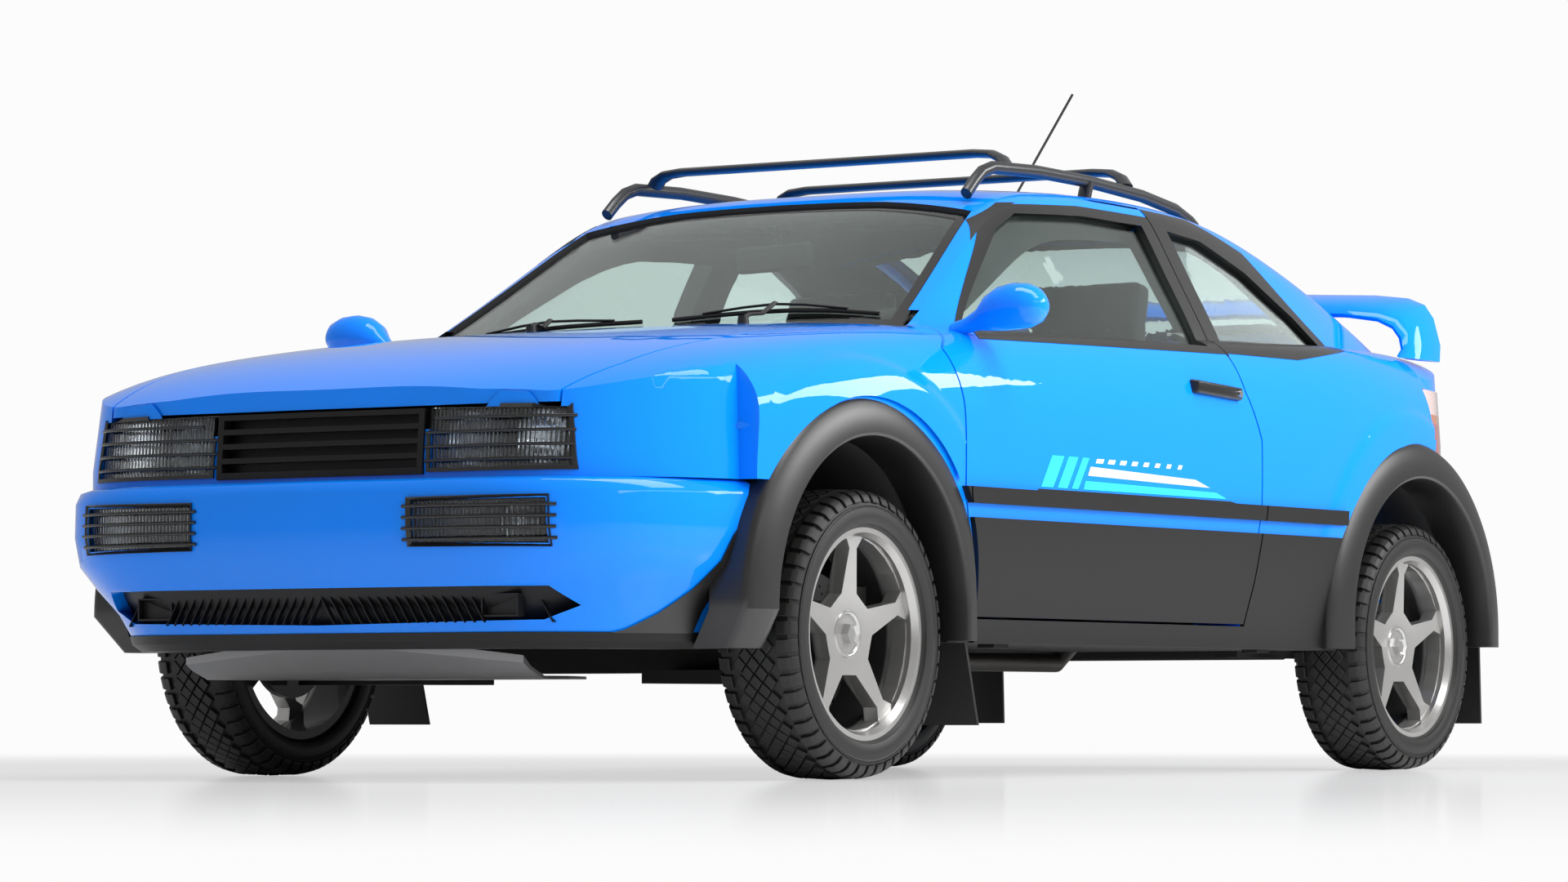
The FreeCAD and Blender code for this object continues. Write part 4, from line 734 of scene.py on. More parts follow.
under_wing = skin_tree("side_frames", "tailgate")
wing = bmesh.new()
rings = []
for sign, sections in ((-1.0, WING_SECTIONS[::-1]), (1.0, WING_SECTIONS[1:])):
    for front, rear, (facing_x, facing_z) in sections:
        start, chord = Vector(front), Vector(rear) - Vector(front)
        up = Vector((facing_x, 0.0, facing_z)).normalized() * WING_THICK
        ring = [start + chord * along + up * out for along, out in BLADE]
        rings.append([(sign * p.x, FRONT_AXLE + p.y, p.z) for p in ring])
loft(wing, rings)
for v in wing.verts:
    spot = from_above(under_wing, v.co.x, v.co.y)
    if spot is not None:
        v.co.z = max(v.co.z, spot.z + WING_CLEARANCE)
new_piece("rear_wing_blade", wing, [blue_lacquer], "tailgate", "rear_wing")
feet = bmesh.new()
for sign in (-1.0, 1.0):
    block(feet, WING_FOOT, (sign * WING_FOOT_PLACE[0], WING_FOOT_PLACE[1], WING_FOOT_PLACE[2]))
bevelled(feet, feet.edges[:], 0.006)
new_piece("rear_wing_feet", feet, [blue_lacquer], "tailgate")


# Roof rack. Graphite powder coated aluminium: two rails of flat oval tube that bend down to the roof at
# each end, a foot under the middle of each, and two flat crossbars whose ends bend down to the rails. The
# coating is dark with a soft sheen.
RAIL = [(0.488, 0.935, 1.292), (0.487, 0.970, 1.322), (0.486, 1.005, 1.346), (0.486, 1.050, 1.360),
        (0.488, 1.240, 1.366), (0.490, 1.467, 1.362), (0.490, 1.720, 1.348), (0.490, 1.880, 1.328),
        (0.490, 1.950, 1.306), (0.490, 1.975, 1.293)]
RAIL_FOOT = [(0.486, 1.455, 1.306), (0.488, 1.462, 1.335), (0.490, 1.470, 1.360)]
CROSSBAR = [(0.0, 0.0), (0.250, 0.0), (0.400, 0.0), (0.445, -0.004), (0.470, -0.016), (0.484, -0.036)]
CROSSBAR_PLACES = (1.120, 1.660)
CROSSBAR_HEIGHT = 1.402


def tube(bm, line, half_width, half_height):
    """Oval tube along a line of points, lying flat."""
    rings = []
    for index, point in enumerate(line):
        along = (line[min(index + 1, len(line) - 1)] - line[max(index - 1, 0)]).normalized()
        across = along.cross(Vector((0.0, 0.0, 1.0))).normalized()
        up = across.cross(along).normalized()
        rings.append([point + across * (c * half_width) + up * (s * half_height) for c, s in circle(16)])
    loft(bm, rings)


powder_coat = finish("graphite_powder_coat", "1D1E21", 0.32, coat=0.3, grain=(0.0007, 0.08))
rack = bmesh.new()
for sign in (-1.0, 1.0):
    for line, half_width, half_height in ((RAIL, 0.013, 0.015), (RAIL_FOOT, 0.020, 0.012)):
        tube(rack, [Vector((sign * x, FRONT_AXLE + y, z)) for x, y, z in line], half_width, half_height)
for y in CROSSBAR_PLACES:
    whole_bar = [(-x, dz) for x, dz in CROSSBAR[:0:-1]] + CROSSBAR
    tube(rack, [Vector((x, FRONT_AXLE + y, CROSSBAR_HEIGHT + dz)) for x, dz in whole_bar], 0.030, 0.010)
new_piece("roof_rack_tubes", rack, [powder_coat], "body", "roof_rack")


# Wipers. Two black steel arms on spindles in the scuttle, each with a sprung blade and a rubber edge that
# lies on the screen. Points of each are found on the glass below them. A wiper is its spindle and its
# blade's two ends.
WIPERS = (((0.300, 0.322), (0.060, 0.404), (0.560, 0.458)),
          ((-0.260, 0.320), (-0.510, 0.394), (-0.020, 0.402)))
RUBBER_EDGE = [(share, 0.006) for share in (0.0, 0.2, 0.4, 0.6, 0.8, 1.0)]
SPRUNG_BLADE = [(0.15, 0.012), (0.35, 0.018), (0.5, 0.021), (0.65, 0.018), (0.85, 0.012)]
WIPER_ARM = [(0.0, 0.012), (0.2, 0.020), (0.6, 0.024), (1.0, 0.024)]
wiper_black = finish("wiper_black", "0E0E0F", 0.42, grain=(0.0006, 0.1))
screen = skin_tree("fixed_glass", "front_wings", "floor_and_bulkhead", "bonnet")


def over_screen(start, end, points):
    """Points of a line over the screen, from shares of its length and heights over the glass."""
    line = []
    for share, lift in points:
        x, y = (a + (b - a) * share for a, b in zip(start, end))
        line.append(from_above(screen, x, FRONT_AXLE + y) + Vector((0.0, 0.0, lift)))
    return line


wipers = bmesh.new()
for spindle, first, last in WIPERS:
    middle = tuple(0.5 * (a + b) for a, b in zip(first, last))
    tube(wipers, over_screen(first, last, RUBBER_EDGE), 0.0035, 0.005)
    tube(wipers, over_screen(first, last, SPRUNG_BLADE), 0.004, 0.003)
    tube(wipers, over_screen(spindle, middle, WIPER_ARM), 0.008, 0.004)
    foot = over_screen(spindle, middle, [(0.0, 0.006)])[0]
    bmesh.ops.create_cone(wipers, cap_ends=True, segments=20, radius1=0.014, radius2=0.011, depth=0.022,
                          matrix=Matrix.Translation(foot))
new_piece("wiper_arms", wipers, [wiper_black], "body", "wipers")


# Flare feet. The front flares' leading legs run into the lip along the bumper's corner. Thin strips of the
# flares' own plastic follow the corner there, each lower than the one behind it.
FOOT_SWEEP = from_axle([(-0.66, 0.284), (-0.60, 0.302), (-0.55, 0.336), (-0.51, 0.384), (-0.480, 0.440),
                        (-0.452, 0.500)])
FOOT_BOTTOM = 0.250
for (y0, z0), (y1, z1) in zip(FOOT_SWEEP, FOOT_SWEEP[1:]):
    ahead = str(round(1000.0 * (FRONT_AXLE - y0)))
    for side, sign in SIDES:
        outline = [(y0, FOOT_BOTTOM), (y1, FOOT_BOTTOM), (y1, z1), (y0, z0)]
        strip = cut_from("front_bumper", outline, lift=0.004, facing=lambda n, c: n.x * sign > 0.2)
        new_piece("flare_foot_" + side + "_" + ahead, strip, [flare_plastic], "body")


# Door handles. Black glass-filled nylon flaps with tapered ends, each with a bright key barrel at its rear.
HANDLE_SIZE = (0.024, 0.215, 0.034)
HANDLE_MIDDLE_Y = FRONT_AXLE + 1.4325
HANDLE_HEIGHT = 0.866
HANDLE_PROUD = 0.006
BARREL_PLACE = (0.019, 0.088, -0.004)
handle_nylon = finish("handle_nylon", "0D0D0E", 0.33, grain=(0.0008, 0.1))
barrel_chrome = finish("barrel_chrome", "D4D6D8", 0.12, metallic=1.0)
for side, sign in SIDES:
    spot, _ = from_side(skin_tree("door_" + side), sign, HANDLE_MIDDLE_Y, HANDLE_HEIGHT)
    handle = bmesh.new()
    for v in block(handle, HANDLE_SIZE):
        if v.co.x > 0.0:
            v.co.z *= 0.8
            v.co.y *= 0.96
    bevelled(handle, handle.edges[:], 0.005)
    lean = Matrix.Rotation(math.radians(-2.5), 3, "X")
    bmesh.ops.rotate(handle, cent=ORIGIN, matrix=lean, verts=handle.verts)
    if sign < 0.0:
        mirrored(handle)
    bmesh.ops.translate(handle, vec=(spot.x + sign * HANDLE_PROUD, HANDLE_MIDDLE_Y, HANDLE_HEIGHT),
                        verts=handle.verts)
    stand = Matrix.Translation((spot.x + sign * BARREL_PLACE[0], HANDLE_MIDDLE_Y + BARREL_PLACE[1],
                                HANDLE_HEIGHT + BARREL_PLACE[2]))
    barrel = bmesh.ops.create_cone(handle, cap_ends=True, segments=24, radius1=0.0085, radius2=0.008,
                                   depth=0.006,
                                   matrix=stand @ Matrix.Rotation(sign * math.pi / 2, 4, "Y"))["verts"]
    painted(barrel, 1)
    new_piece("door_handle_" + side, handle, [handle_nylon, barrel_chrome], "door_" + side)


# Lamp inners. Each headlamp and fog lamp is a dark moulded housing with two bright aluminised reflectors
# side by side, each with a bulb on a stalk, behind a clear lens moulded with upright flutes that break up
# what is behind it. The sizes are the two reflectors' X, their height and radius, and how far their mouths
# stand behind the axle.
LAMPS = (("headlamp", (0.352, 0.518), 0.681, 0.052, -0.7150),
         ("foglamp", (0.356, 0.508), 0.512, 0.037, -0.7720))
DISH = [(0.0, 0.040), (0.30, 0.0385), (0.60, 0.0320), (0.85, 0.0200), (1.0, 0.0060), (1.03, 0.0050),
        (1.03, 0.0030)]
DISH_FORWARD = 0.006
OUTER_SETBACK = 0.010
BULB_SHARE = 0.2
STALK_SHARE = 0.12
LAMP_AREA = from_axle([(-1.9, 0.40), (1.2, 0.40), (1.2, 0.80), (-1.9, 0.80)])


def fluted(material, direction, scale, strength, depth):
    """Add moulded flutes to a lens material's bump."""
    tree = material.node_tree
    place = add_node(tree, "ShaderNodeTexCoord").outputs["Object"]
    flutes = add_node(tree, "ShaderNodeTexWave",
                      {"wave_type": "BANDS", "bands_direction": direction, "Scale": scale, "Distortion": 0.0},
                      {"Vector": place})
    bump = add_node(tree, "ShaderNodeBump", {"Strength": strength, "Distance": depth},
                    {"Height": flutes.outputs["Fac"]})
    tree.links.new(bump.outputs["Normal"], tree.nodes["Principled BSDF"].inputs["Normal"])


clear_lens = finish("fluted_polycarbonate", "DDE2E6", 0.04, Transmission_Weight=1.0, IOR=1.45)
fluted(clear_lens, "X", 34.0, 0.55, 0.0020)
dress(clear_lens, ("lamp_lenses",))
aluminised_lacquer = finish("aluminised_lacquer", "D8DADC", 0.12, metallic=1.0)
housing_black = finish("housing_black", "1B1C1E", 0.3, grain=(0.001, 0.1))
bulb_glass = finish("bulb_glass", "E8EEF2", 0.08, coat=0.5)
housings = cut_from("lamp_bowls", LAMP_AREA, lift=-0.0003, facing=lambda n, c: n.y > -0.75)
housing = new_piece("lamp_housings", housings, [housing_black], "body", "lamp_bowls")
shell = housing.modifiers.new("wall", "SOLIDIFY")
shell.thickness = 0.0018
shell.offset = -1.0
for name, places, height, radius, mouth in LAMPS:
    for side, sign in SIDES:
        optics = bmesh.new()
        for index, x in enumerate(places):
            back = FRONT_AXLE + mouth + OUTER_SETBACK * index
            dish = [(x, back + depth - DISH_FORWARD, height + radius * share) for share, depth in DISH]
            revolved(optics, dish, (x, back, height), (0.0, 1.0, 0.0), 48)
            bulb = bmesh.ops.create_uvsphere(optics, u_segments=16, v_segments=8, radius=radius * BULB_SHARE,
                                             matrix=Matrix.Translation((x, back + 0.016, height)))["verts"]
            painted(bulb, 1)
            stand = Matrix.Translation((x, back + 0.028, height)) @ Matrix.Rotation(math.pi / 2, 4, "X")
            stalk = bmesh.ops.create_cone(optics, cap_ends=True, segments=16, radius1=radius * STALK_SHARE,
                                          radius2=radius * STALK_SHARE, depth=0.024, matrix=stand)["verts"]
            painted(stalk, 2)
        divider_place = (0.5 * sum(places), FRONT_AXLE + mouth + 0.012, height)
        painted(block(optics, (0.0016, 0.036, radius * 2.0), divider_place), 2)
        if sign < 0.0:
            mirrored(optics)
        new_piece(name + "_optics_" + side, optics, [aluminised_lacquer, bulb_glass, housing_black], "body")


# Lamp frames. A black moulded frame runs round each lamp opening, with a low sheen, laid on the lens and
# the panel.
FRAME_WIDTH = 0.008
FRAME_DEPTH = 0.004
FRAME_PROUD = 0.0015
LONG_EDGE = 0.04
LAMP_EDGE = [(0.271, 0.614), (0.266, 0.748), (0.594, 0.744), (0.611, 0.613)]
FOG_EDGE = [(0.274, 0.464), (0.272, 0.562), (0.587, 0.564), (0.590, 0.461)]


def from_front(tree, x, z):
    """Place where a line back from ahead of the car first meets a skin, or None."""
    return tree.ray_cast(Vector((x, -3.0, z)), Vector((0.0, 1.0, 0.0)), 2.5)[0]


def frame_ring(outline):
    """Flat moulded ring inside an outline of (x, z) points, standing over the front axle."""
    ring = bmesh.new()
    middle_x = sum(x for x, _ in outline) / len(outline)
    middle_z = sum(z for _, z in outline) / len(outline)
    loops = []
    for inward in (0.0, FRAME_WIDTH):
        verts = [ring.verts.new((x - math.copysign(inward, x - middle_x), FRONT_AXLE,
                                 z - math.copysign(inward, z - middle_z))) for x, z in outline]
        loops += [ring.edges.new(pair) for pair in zip(verts, verts[1:] + verts[:1])]
    bmesh.ops.bridge_loops(ring, edges=loops)
    long_edges = [e for e in ring.edges if e.calc_length() > LONG_EDGE]
    bmesh.ops.subdivide_edges(ring, edges=long_edges, cuts=8, use_grid_fill=True)
    bmesh.ops.recalc_face_normals(ring, faces=ring.faces)
    bmesh.ops.solidify(ring, geom=ring.faces[:], thickness=FRAME_DEPTH)
    return ring


guard_black = finish("guard_black", "121213", 0.34, coat=0.3)
for name, edge, panels in (("headlamp", LAMP_EDGE, ("front_wings", "grilles", "lamp_lenses")),
                           ("foglamp", FOG_EDGE, ("front_bumper", "lamp_lenses"))):
    front = skin_tree(*panels)
    for side, sign in SIDES:
        ring = frame_ring(edge)
        if sign < 0.0:
            mirrored(ring)
        for v in ring.verts:
            spot = from_front(front, v.co.x, v.co.z)
            if spot is not None:
                v.co.y = spot.y - FRAME_PROUD - (v.co.y - FRONT_AXLE)
        bmesh.ops.recalc_face_normals(ring, faces=ring.faces)
        new_piece(name + "_frame_" + side, ring, [guard_black], "body")


# Lower intake. Thin slanted fins stand in the opening in front of its screen, with a square brake duct each
# side. All are moulded in one black plastic, dull enough to stay darker than the bumper's shadow.
INTAKE_MIDDLE_Z = 0.349
FIN_STEP = 0.0225
FIN_SIZE = (0.0018, 0.012, 0.080)
FIN_LEAN = -32.0
FINS_STOP, FINS_RESUME = 0.385, 0.50
DUCT_X = 0.438
DUCT_SIZE = (0.090, 0.020, 0.046)
DUCT_WALL = 0.005
DUCT_DEPTH = 0.016
intake_moulding = finish("intake_moulding", "060607", 0.5, grain=(0.001, 0.15))
intake_screen = skin_tree("grilles")
fins = bmesh.new()
for index in range(-23, 24):
    x = index * FIN_STEP
    spot = from_front(intake_screen, x, INTAKE_MIDDLE_Z)
    if FINS_STOP < abs(x) < FINS_RESUME or spot is None:
        continue
    fin = block(fins, FIN_SIZE)
    lean = Matrix.Rotation(math.radians(FIN_LEAN if x > 0.0 else -FIN_LEAN), 3, "Y")
    bmesh.ops.rotate(fins, cent=ORIGIN, matrix=lean, verts=fin)
    bmesh.ops.translate(fins, vec=(x, spot.y - 0.008, INTAKE_MIDDLE_Z), verts=fin)
for sign in (-1.0, 1.0):
    spot = from_front(intake_screen, sign * 0.44, INTAKE_MIDDLE_Z)
    duct = bmesh.new()
    block(duct, DUCT_SIZE)
    mouth = [f for f in duct.faces if f.normal.y < -0.9]
    bmesh.ops.inset_region(duct, faces=mouth, thickness=DUCT_WALL, depth=0.0)
    inner = corners(bmesh.ops.extrude_face_region(duct, geom=mouth)["geom"])
    bmesh.ops.delete(duct, geom=mouth, context="FACES_ONLY")
    bmesh.ops.translate(duct, vec=(0.0, DUCT_DEPTH, 0.0), verts=inner)
    bmesh.ops.translate(duct, vec=(sign * DUCT_X, spot.y - 0.0105, INTAKE_MIDDLE_Z), verts=duct.verts)
    added(fins, duct)
bmesh.ops.recalc_face_normals(fins, faces=fins.faces)
new_piece("intake_fins", fins, [intake_moulding], "body")


# Lamp guards. Round steel rods, dipped in satin black nylon, run across each lamp and are bent back to its
# frame at both ends. Their places are found on the lens and the panel behind them.
GUARDS = (("headlamp", 0.266, 0.603, (0.636, 0.664, 0.692, 0.720)),
          ("foglamp", 0.262, 0.600, (0.478, 0.500, 0.522, 0.544)))
GUARD_ROD = 0.0034
GUARD_STANDOFF = 0.013
GUARD_END_STANDOFF = 0.002
GUARD_STEPS = 12
guard_nylon = finish("guard_nylon", "101011", 0.38, coat=0.2)
front = skin_tree("front_wings", "front_bumper", "lamp_lenses", "grilles")
for name, inner, outer, heights in GUARDS:
    for side, sign in SIDES:
        rods = bmesh.new()
        for z in heights:
            line = []
            for step in range(GUARD_STEPS + 1):
                x = inner + (outer - inner) * step / GUARD_STEPS
                spot = from_front(front, x, z)
                off = GUARD_STANDOFF if 0 < step < GUARD_STEPS else GUARD_END_STANDOFF
                if spot is not None:
                    line.append(Vector((x, spot.y - off, z)))
            tube(rods, line, GUARD_ROD, GUARD_ROD)
        if sign < 0.0:
            mirrored(rods)
        new_piece(name + "_guard_" + side, rods, [guard_nylon], "body", "lamp_guards")


# Front seats. Two cloth buckets: a cushion and a back of three sewn channels between raised bolsters, and a
# padded head restraint on two steel posts. The dark weave is matt, with a faint sheen at grazing angles. A
# pad is its middle and its half width across the car, then its reach along Y and Z.
SEAT_MIDDLE = 0.345
BOLSTER_SHAPE = {"round_by": 0.028, "crown": 0.006}
CHANNELS = (-0.105, 0.0, 0.105)
BOLSTERS = (-0.197, 0.197)
BACK_TILT = 15.5
RESTRAINT_SIZE = (0.285, 0.066, 0.165)
RESTRAINT_PLACE = (FRONT_AXLE + 1.722, 1.062)
POST_PLACE = (0.075, FRONT_AXLE + 1.700, 0.980)


def pad(bm, middle, half_width, y0, y1, z0, z1, tilt=0.0, round_by=0.018, crown=0.010):
    """Stuffed block with rounded edges and crowned faces, tilted back about its lowest front edge."""
    half = Vector((half_width, (y1 - y0) / 2, (z1 - z0) / 2))
    stuffed = bmesh.new()
    block(stuffed, half * 2.0)
    bmesh.ops.subdivide_edges(stuffed, edges=stuffed.edges[:], cuts=7, use_grid_fill=True)
    bevelled(stuffed, [e for e in stuffed.edges if e.calc_face_angle(0.0) > 1.0], round_by)
    for v in stuffed.verts:
        swell = 1.0
        for k in range(3):
            swell *= 1.0 - 0.5 * min(abs(v.co[k]) / half[k], 1.0) ** 2
        v.co += v.co.normalized() * crown * (swell - 0.25)
    lean = Matrix.Rotation(math.radians(-tilt), 4, "X")
    corner = Matrix.Translation((middle, FRONT_AXLE + y0, z0))
    stand = corner @ lean @ Matrix.Translation((0.0, half.y, half.z))
    bmesh.ops.transform(stuffed, matrix=stand, verts=stuffed.verts)
    added(bm, stuffed)


seat_weave = finish("seat_weave", "1A1A1C", 0.85, grain=(0.0018, 0.5), mottle=0.15, Sheen_Weight=0.3)
for side, sign in SIDES:
    middle = sign * SEAT_MIDDLE
    seat = bmesh.new()
    for offset in CHANNELS:
        pad(seat, middle + offset, 0.054, 1.10, 1.545, 0.44, 0.532)
        pad(seat, middle + offset, 0.054, 1.520, 1.598, 0.53, 0.965, tilt=BACK_TILT)
    for offset in BOLSTERS:
        pad(seat, middle + offset, 0.042, 1.09, 1.55, 0.43, 0.552, **BOLSTER_SHAPE)
        pad(seat, middle + offset, 0.038, 1.490, 1.605, 0.53, 0.930, tilt=BACK_TILT, **BOLSTER_SHAPE)
    pad(seat, middle, 0.175, 1.13, 1.52, 0.345, 0.44, round_by=0.02, crown=0.0)
    seat_piece = new_piece("seat_" + side, seat, [seat_weave], "body", "front_seats")

    rest = bmesh.new()
    block(rest, RESTRAINT_SIZE)
    bevelled(rest, rest.edges[:], 0.016)
    bmesh.ops.recalc_face_normals(rest, faces=rest.faces)
    bmesh.ops.rotate(rest, cent=ORIGIN, matrix=Matrix.Rotation(math.radians(-9.0), 3, "X"), verts=rest.verts)
    bmesh.ops.translate(rest, vec=(middle, *RESTRAINT_PLACE), verts=rest.verts)
    rest_piece = new_piece("head_restraint_" + side, rest, [seat_weave], "body")
    posts = bmesh.new()
    for offset in (-POST_PLACE[0], POST_PLACE[0]):
        stand = Matrix.Translation((middle + offset, *POST_PLACE[1:]))
        bmesh.ops.create_cone(posts, cap_ends=True, segments=16, radius1=0.0065, radius2=0.0065, depth=0.12,
                              matrix=stand @ Matrix.Rotation(math.radians(12.0), 4, "X"))
    new_piece("restraint_posts_" + side, posts, [dull_steel], "body")


# Rear bench. A cushion and a back of two shaped places each, in the same cloth as the front seats.
BENCH_MIDDLE = 0.262
BENCH_CHANNELS = (-0.130, 0.0, 0.130)
bench = bmesh.new()
for sign in (-1.0, 1.0):
    middle = sign * BENCH_MIDDLE
    for offset in BENCH_CHANNELS:
        pad(bench, middle + offset, 0.066, 1.80, 2.12, 0.375, 0.490, round_by=0.020, crown=0.012)
        pad(bench, middle + offset, 0.066, 2.035, 2.115, 0.470, 0.845, tilt=12.0, round_by=0.020)
    pad(bench, middle, 0.24, 1.82, 2.10, 0.336, 0.385, round_by=0.014, crown=0.0)
bench_piece = new_piece("rear_bench", bench, [seat_weave], "body", "rear_seat")


# Interior mirror and sun visors. A black moulded mirror hangs from the screen's top edge on a short ball
# arm, and two padded visors in the roof's own cloth lie flat over the screen.
VISOR_SIZE = (0.36, 0.125, 0.016)
VISOR_PLACE = (0.265, FRONT_AXLE + 1.040, 1.240)
inside_mirror = bmesh.new()
block(inside_mirror, (0.235, 0.024, 0.062))
bevelled(inside_mirror, inside_mirror.edges[:], 0.010)
turn = Matrix.Rotation(math.radians(-12.0), 3, "Z")
bmesh.ops.rotate(inside_mirror, cent=ORIGIN, matrix=turn, verts=inside_mirror.verts)
bmesh.ops.translate(inside_mirror, vec=(0.0, FRONT_AXLE + 0.905, 1.165), verts=inside_mirror.verts)
stand = Matrix.Translation((0.0, FRONT_AXLE + 0.918, 1.212)) @ Matrix.Rotation(math.radians(14.0), 4, "X")
bmesh.ops.create_cone(inside_mirror, cap_ends=True, segments=16, radius1=0.008, radius2=0.012, depth=0.060,
                      matrix=stand)
new_piece("interior_mirror", inside_mirror, [door_card_vinyl], "body")
visors = bmesh.new()
for sign in (-1.0, 1.0):
    block(visors, VISOR_SIZE, (sign * VISOR_PLACE[0], *VISOR_PLACE[1:]))
bevelled(visors, visors.edges[:], 0.007)
new_piece("sun_visors", visors, [lining_cloth], "body")


# Instrument hood. A moulded cowl on the dashboard in front of the steering wheel, in the dashboard's own
# vinyl.
HOOD_SIZE = (0.360, 0.170, 0.050)
HOOD_PLACE = (0.350, FRONT_AXLE + 0.63)
hood = bmesh.new()
for v in block(hood, HOOD_SIZE):
    if v.co.z > 0.0:
        v.co.x *= 0.82
        v.co.y = v.co.y * 0.7 + 0.020
bevelled(hood, hood.edges[:], 0.014, segments=4)
top = from_above(skin_tree("dashboard"), HOOD_PLACE[0], HOOD_PLACE[1] - 0.01)
bmesh.ops.translate(hood, vec=(*HOOD_PLACE, top.z + 0.014), verts=hood.verts)
new_piece("instrument_hood", hood, [grained_vinyl], "body")


# Door graphic. Cut vinyl film in turquoise, pale lilac and near-black: three slanted bars, a row of short
# dashes, two long tapering flashes and a thin line under them. It is a plain stripe pattern, stuck on the
# door just above the rub strip.
FILM_LIFT = 0.0005
FILM_CUTS = (0.60, 0.03, 31)
TURQUOISE = [[(0.655, 0.622), (0.705, 0.622), (0.745, 0.690), (0.695, 0.690)],
             [(0.725, 0.622), (0.765, 0.622), (0.805, 0.690), (0.765, 0.690)],
             [(0.785, 0.622), (0.812, 0.622), (0.852, 0.690), (0.825, 0.690)],
             [(0.835, 0.622), (1.480, 0.622), (1.430, 0.634), (0.842, 0.640)]]
LILAC = [[(0.850, 0.652), (0.860, 0.672), (1.330, 0.660), (1.400, 0.644)]]
DASH_STEP, DASH_SHRINK = 0.052, 0.002
for k in range(8):
    near, far = 0.880 + k * DASH_STEP, 0.912 + k * (DASH_STEP - DASH_SHRINK)
    LILAC.append([(near, 0.680), (far, 0.680), (far + 0.006, 0.690), (near + 0.006, 0.690)])
BLACK = [[(0.640, 0.608), (1.540, 0.612), (1.500, 0.617), (0.643, 0.617)]]
turquoise_vinyl = finish("turquoise_vinyl", "22D8CF", 0.3, coat=0.3)
lilac_vinyl = finish("lilac_vinyl", "B9C2E6", 0.3, coat=0.3)
black_vinyl = finish("black_vinyl", "10141A", 0.3, coat=0.3)
for side, sign in SIDES:
    door_skin = skin_tree("door_" + side)
    film = bmesh.new()
    for index, group in enumerate((TURQUOISE, LILAC, BLACK)):
        for outline in group:
            face = film.faces.new([film.verts.new((1.0, FRONT_AXLE + y, z)) for y, z in outline])
            face.material_index = index
    first, step, count = FILM_CUTS
    for k in range(1, count + 1):
        bmesh.ops.bisect_plane(film, geom=everything(film), dist=CUT_DISTANCE,
                               plane_co=(0.0, FRONT_AXLE + first + k * step, 0.0), plane_no=(0.0, 1.0, 0.0))
    for v in film.verts:
        spot, normal = from_side(door_skin, sign, v.co.y, v.co.z)
        v.co = spot + normal * FILM_LIFT
    turned_outward(film, sign)
    films = [turquoise_vinyl, lilac_vinyl, black_vinyl]
    new_piece("door_graphic_" + side, film, films, "door_" + side)


# Tail lamps. Acrylic lenses moulded in three colours: red at the bottom, an amber band and a pale band on
# top, with fine flutes on the inside. Each band starts at its own height.
LOWEST_BAND = "A3201C"
UPPER_BANDS = ((0.850, "B0602A"), (0.872, "CDB4B2"))
banded_acrylic = finish("banded_acrylic", LOWEST_BAND, 0.1, coat=1.0)
tree = banded_acrylic.node_tree
place = add_node(tree, "ShaderNodeTexCoord").outputs["Object"]
axes = add_node(tree, "ShaderNodeSeparateXYZ", links={0: place})
colour = add_node(tree, "ShaderNodeRGB").outputs[0]
colour.default_value = linear(LOWEST_BAND)
for height, shade in UPPER_BANDS:
    above = add_node(tree, "ShaderNodeMath", {"operation": "GREATER_THAN", 1: height}, {0: axes.outputs["Z"]})
    colour = add_node(tree, "ShaderNodeMix", {"data_type": "RGBA", 7: linear(shade)},
                      {0: above.outputs[0], 6: colour}).outputs[2]
tree.links.new(colour, tree.nodes["Principled BSDF"].inputs["Base Color"])
fluted(banded_acrylic, "Z", 60.0, 0.5, 0.0012)
dress(banded_acrylic, ("tail_lamps",))


# Studio. A glossy white floor that fades into a white surround, and soft boxes above, beside and ahead of
# the car. Only the narrow ones show in glossy surfaces, as the streaks on the lacquer.
FLOOR_SIZE = 60.0
FADE_FROM, FADE_TO = 2.6, 8.0
FLOOR_GLOW = 0.45
SURROUND_WHITE = "FCFCFC"
SKY_STRENGTH = 0.46
grid = bmesh.new()
bmesh.ops.create_grid(grid, x_segments=1, y_segments=1, size=FLOOR_SIZE)
floor_mesh = bpy.data.meshes.new("floor")
grid.to_mesh(floor_mesh)
grid.free()
floor = bpy.data.objects.new("studio_floor", floor_mesh)
scene.collection.objects.link(floor)
floor_paint = finish("white_floor_paint", "F6F6F6", 0.10)
tree = floor_paint.node_tree
place = add_node(tree, "ShaderNodeTexCoord").outputs["Object"]
reach = add_node(tree, "ShaderNodeVectorMath", {"operation": "LENGTH"}, {0: place})
fade = add_node(tree, "ShaderNodeMapRange",
                {"interpolation_type": "SMOOTHSTEP", "From Min": FADE_FROM, "From Max": FADE_TO,
                 "To Min": FLOOR_GLOW, "To Max": 1.0}, {"Value": reach.outputs["Value"]})
path = add_node(tree, "ShaderNodeLightPath")
seen = add_node(tree, "ShaderNodeMath", {"operation": "MULTIPLY"},
                {0: fade.outputs[0], 1: path.outputs["Is Camera Ray"]})
glow = add_node(tree, "ShaderNodeEmission", {"Color": linear(SURROUND_WHITE), "Strength": 1.0})
blend = add_node(tree, "ShaderNodeMixShader", links={0: seen.outputs[0], 2: glow.outputs[0],
                                                     1: tree.nodes["Principled BSDF"].outputs[0]})
tree.links.new(blend.outputs[0], tree.nodes["Material Output"].inputs["Surface"])
floor_mesh.materials.append(floor_paint)

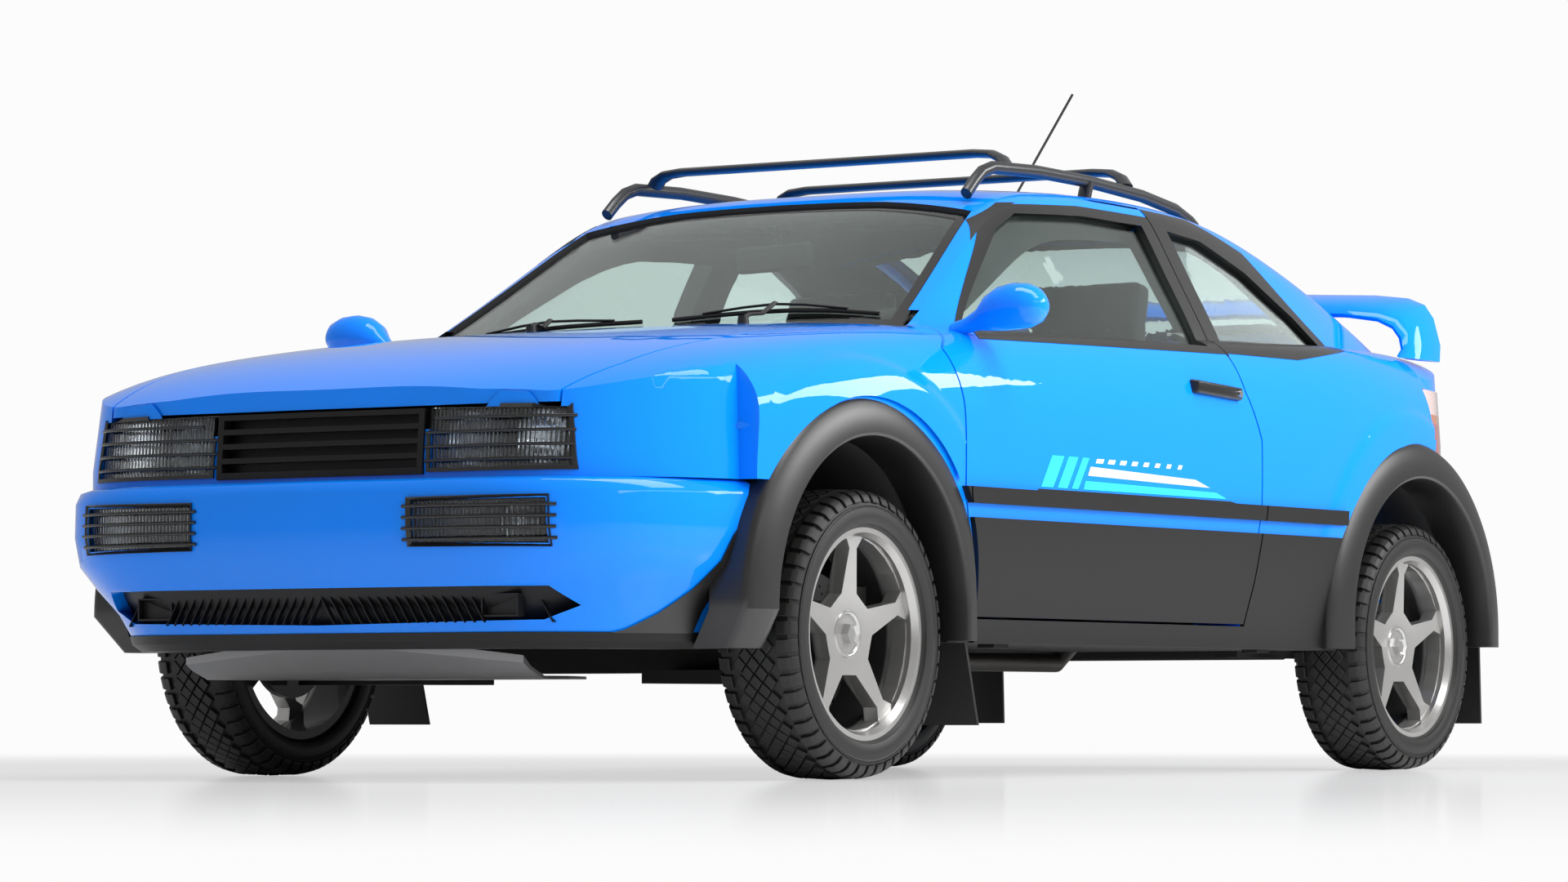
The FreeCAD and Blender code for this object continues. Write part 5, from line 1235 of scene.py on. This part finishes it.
world = bpy.data.worlds.new("studio")
scene.world = world
world.use_nodes = True
tree = world.node_tree
sky = tree.nodes["Background"]
sky.inputs["Strength"].default_value = SKY_STRENGTH
sky.inputs["Color"].default_value = linear("FFFFFF")
path = add_node(tree, "ShaderNodeLightPath")
clear_view = add_node(tree, "ShaderNodeMath", {"operation": "MAXIMUM"},
                      {0: path.outputs["Is Camera Ray"], 1: path.outputs["Is Transmission Ray"]})
white = add_node(tree, "ShaderNodeBackground", {"Strength": 1.0, "Color": linear(SURROUND_WHITE)})
blend = add_node(tree, "ShaderNodeMixShader",
                 links={0: clear_view.outputs[0], 1: sky.outputs[0], 2: white.outputs[0]})
tree.links.new(blend.outputs[0], tree.nodes["World Output"].inputs["Surface"])


def soft_box(name, place, aim, size, watts, mirrored_in_gloss=True):
    """Area light that faces a point; a plain fill light leaves no patch on glossy surfaces."""
    light = bpy.data.lights.new(name, "AREA")
    light.shape = "RECTANGLE"
    light.size, light.size_y = size
    light.energy = watts
    lamp = bpy.data.objects.new(name, light)
    scene.collection.objects.link(lamp)
    lamp.location = place
    lamp.rotation_euler = (Vector(aim) - Vector(place)).to_track_quat("-Z", "Y").to_euler()
    lamp.visible_glossy = mirrored_in_gloss


soft_box("top_light", (2.0, -0.5, 5.2), (0.9, -0.6, 0.5), (1.8, 6.0), 250.0)
soft_box("side_light", (8.5, -0.5, 3.6), (0.8, 0.2, 0.7), (9.0, 4.2), 760.0, mirrored_in_gloss=False)
soft_box("side_strip", (8.5, -0.5, 4.4), (0.8, 0.2, 0.7), (9.0, 0.5), 70.0)
soft_box("far_side_light", (-8.0, 0.5, 3.2), (-0.8, 0.2, 0.6), (8.0, 4.0), 300.0, mirrored_in_gloss=False)
soft_box("front_light", (-2.0, -9.0, 3.6), (0.0, -1.5, 0.5), (6.0, 3.0), 20.0, mirrored_in_gloss=False)
soft_box("rear_light", (0.0, 9.0, 3.6), (0.0, 1.5, 0.6), (6.0, 3.0), 160.0, mirrored_in_gloss=False)
soft_box("quarter_strip", (5.2, 3.4, 3.4), (0.86, -1.3, 0.75), (4.5, 1.2), 170.0)
scene.view_settings.view_transform = "Standard"
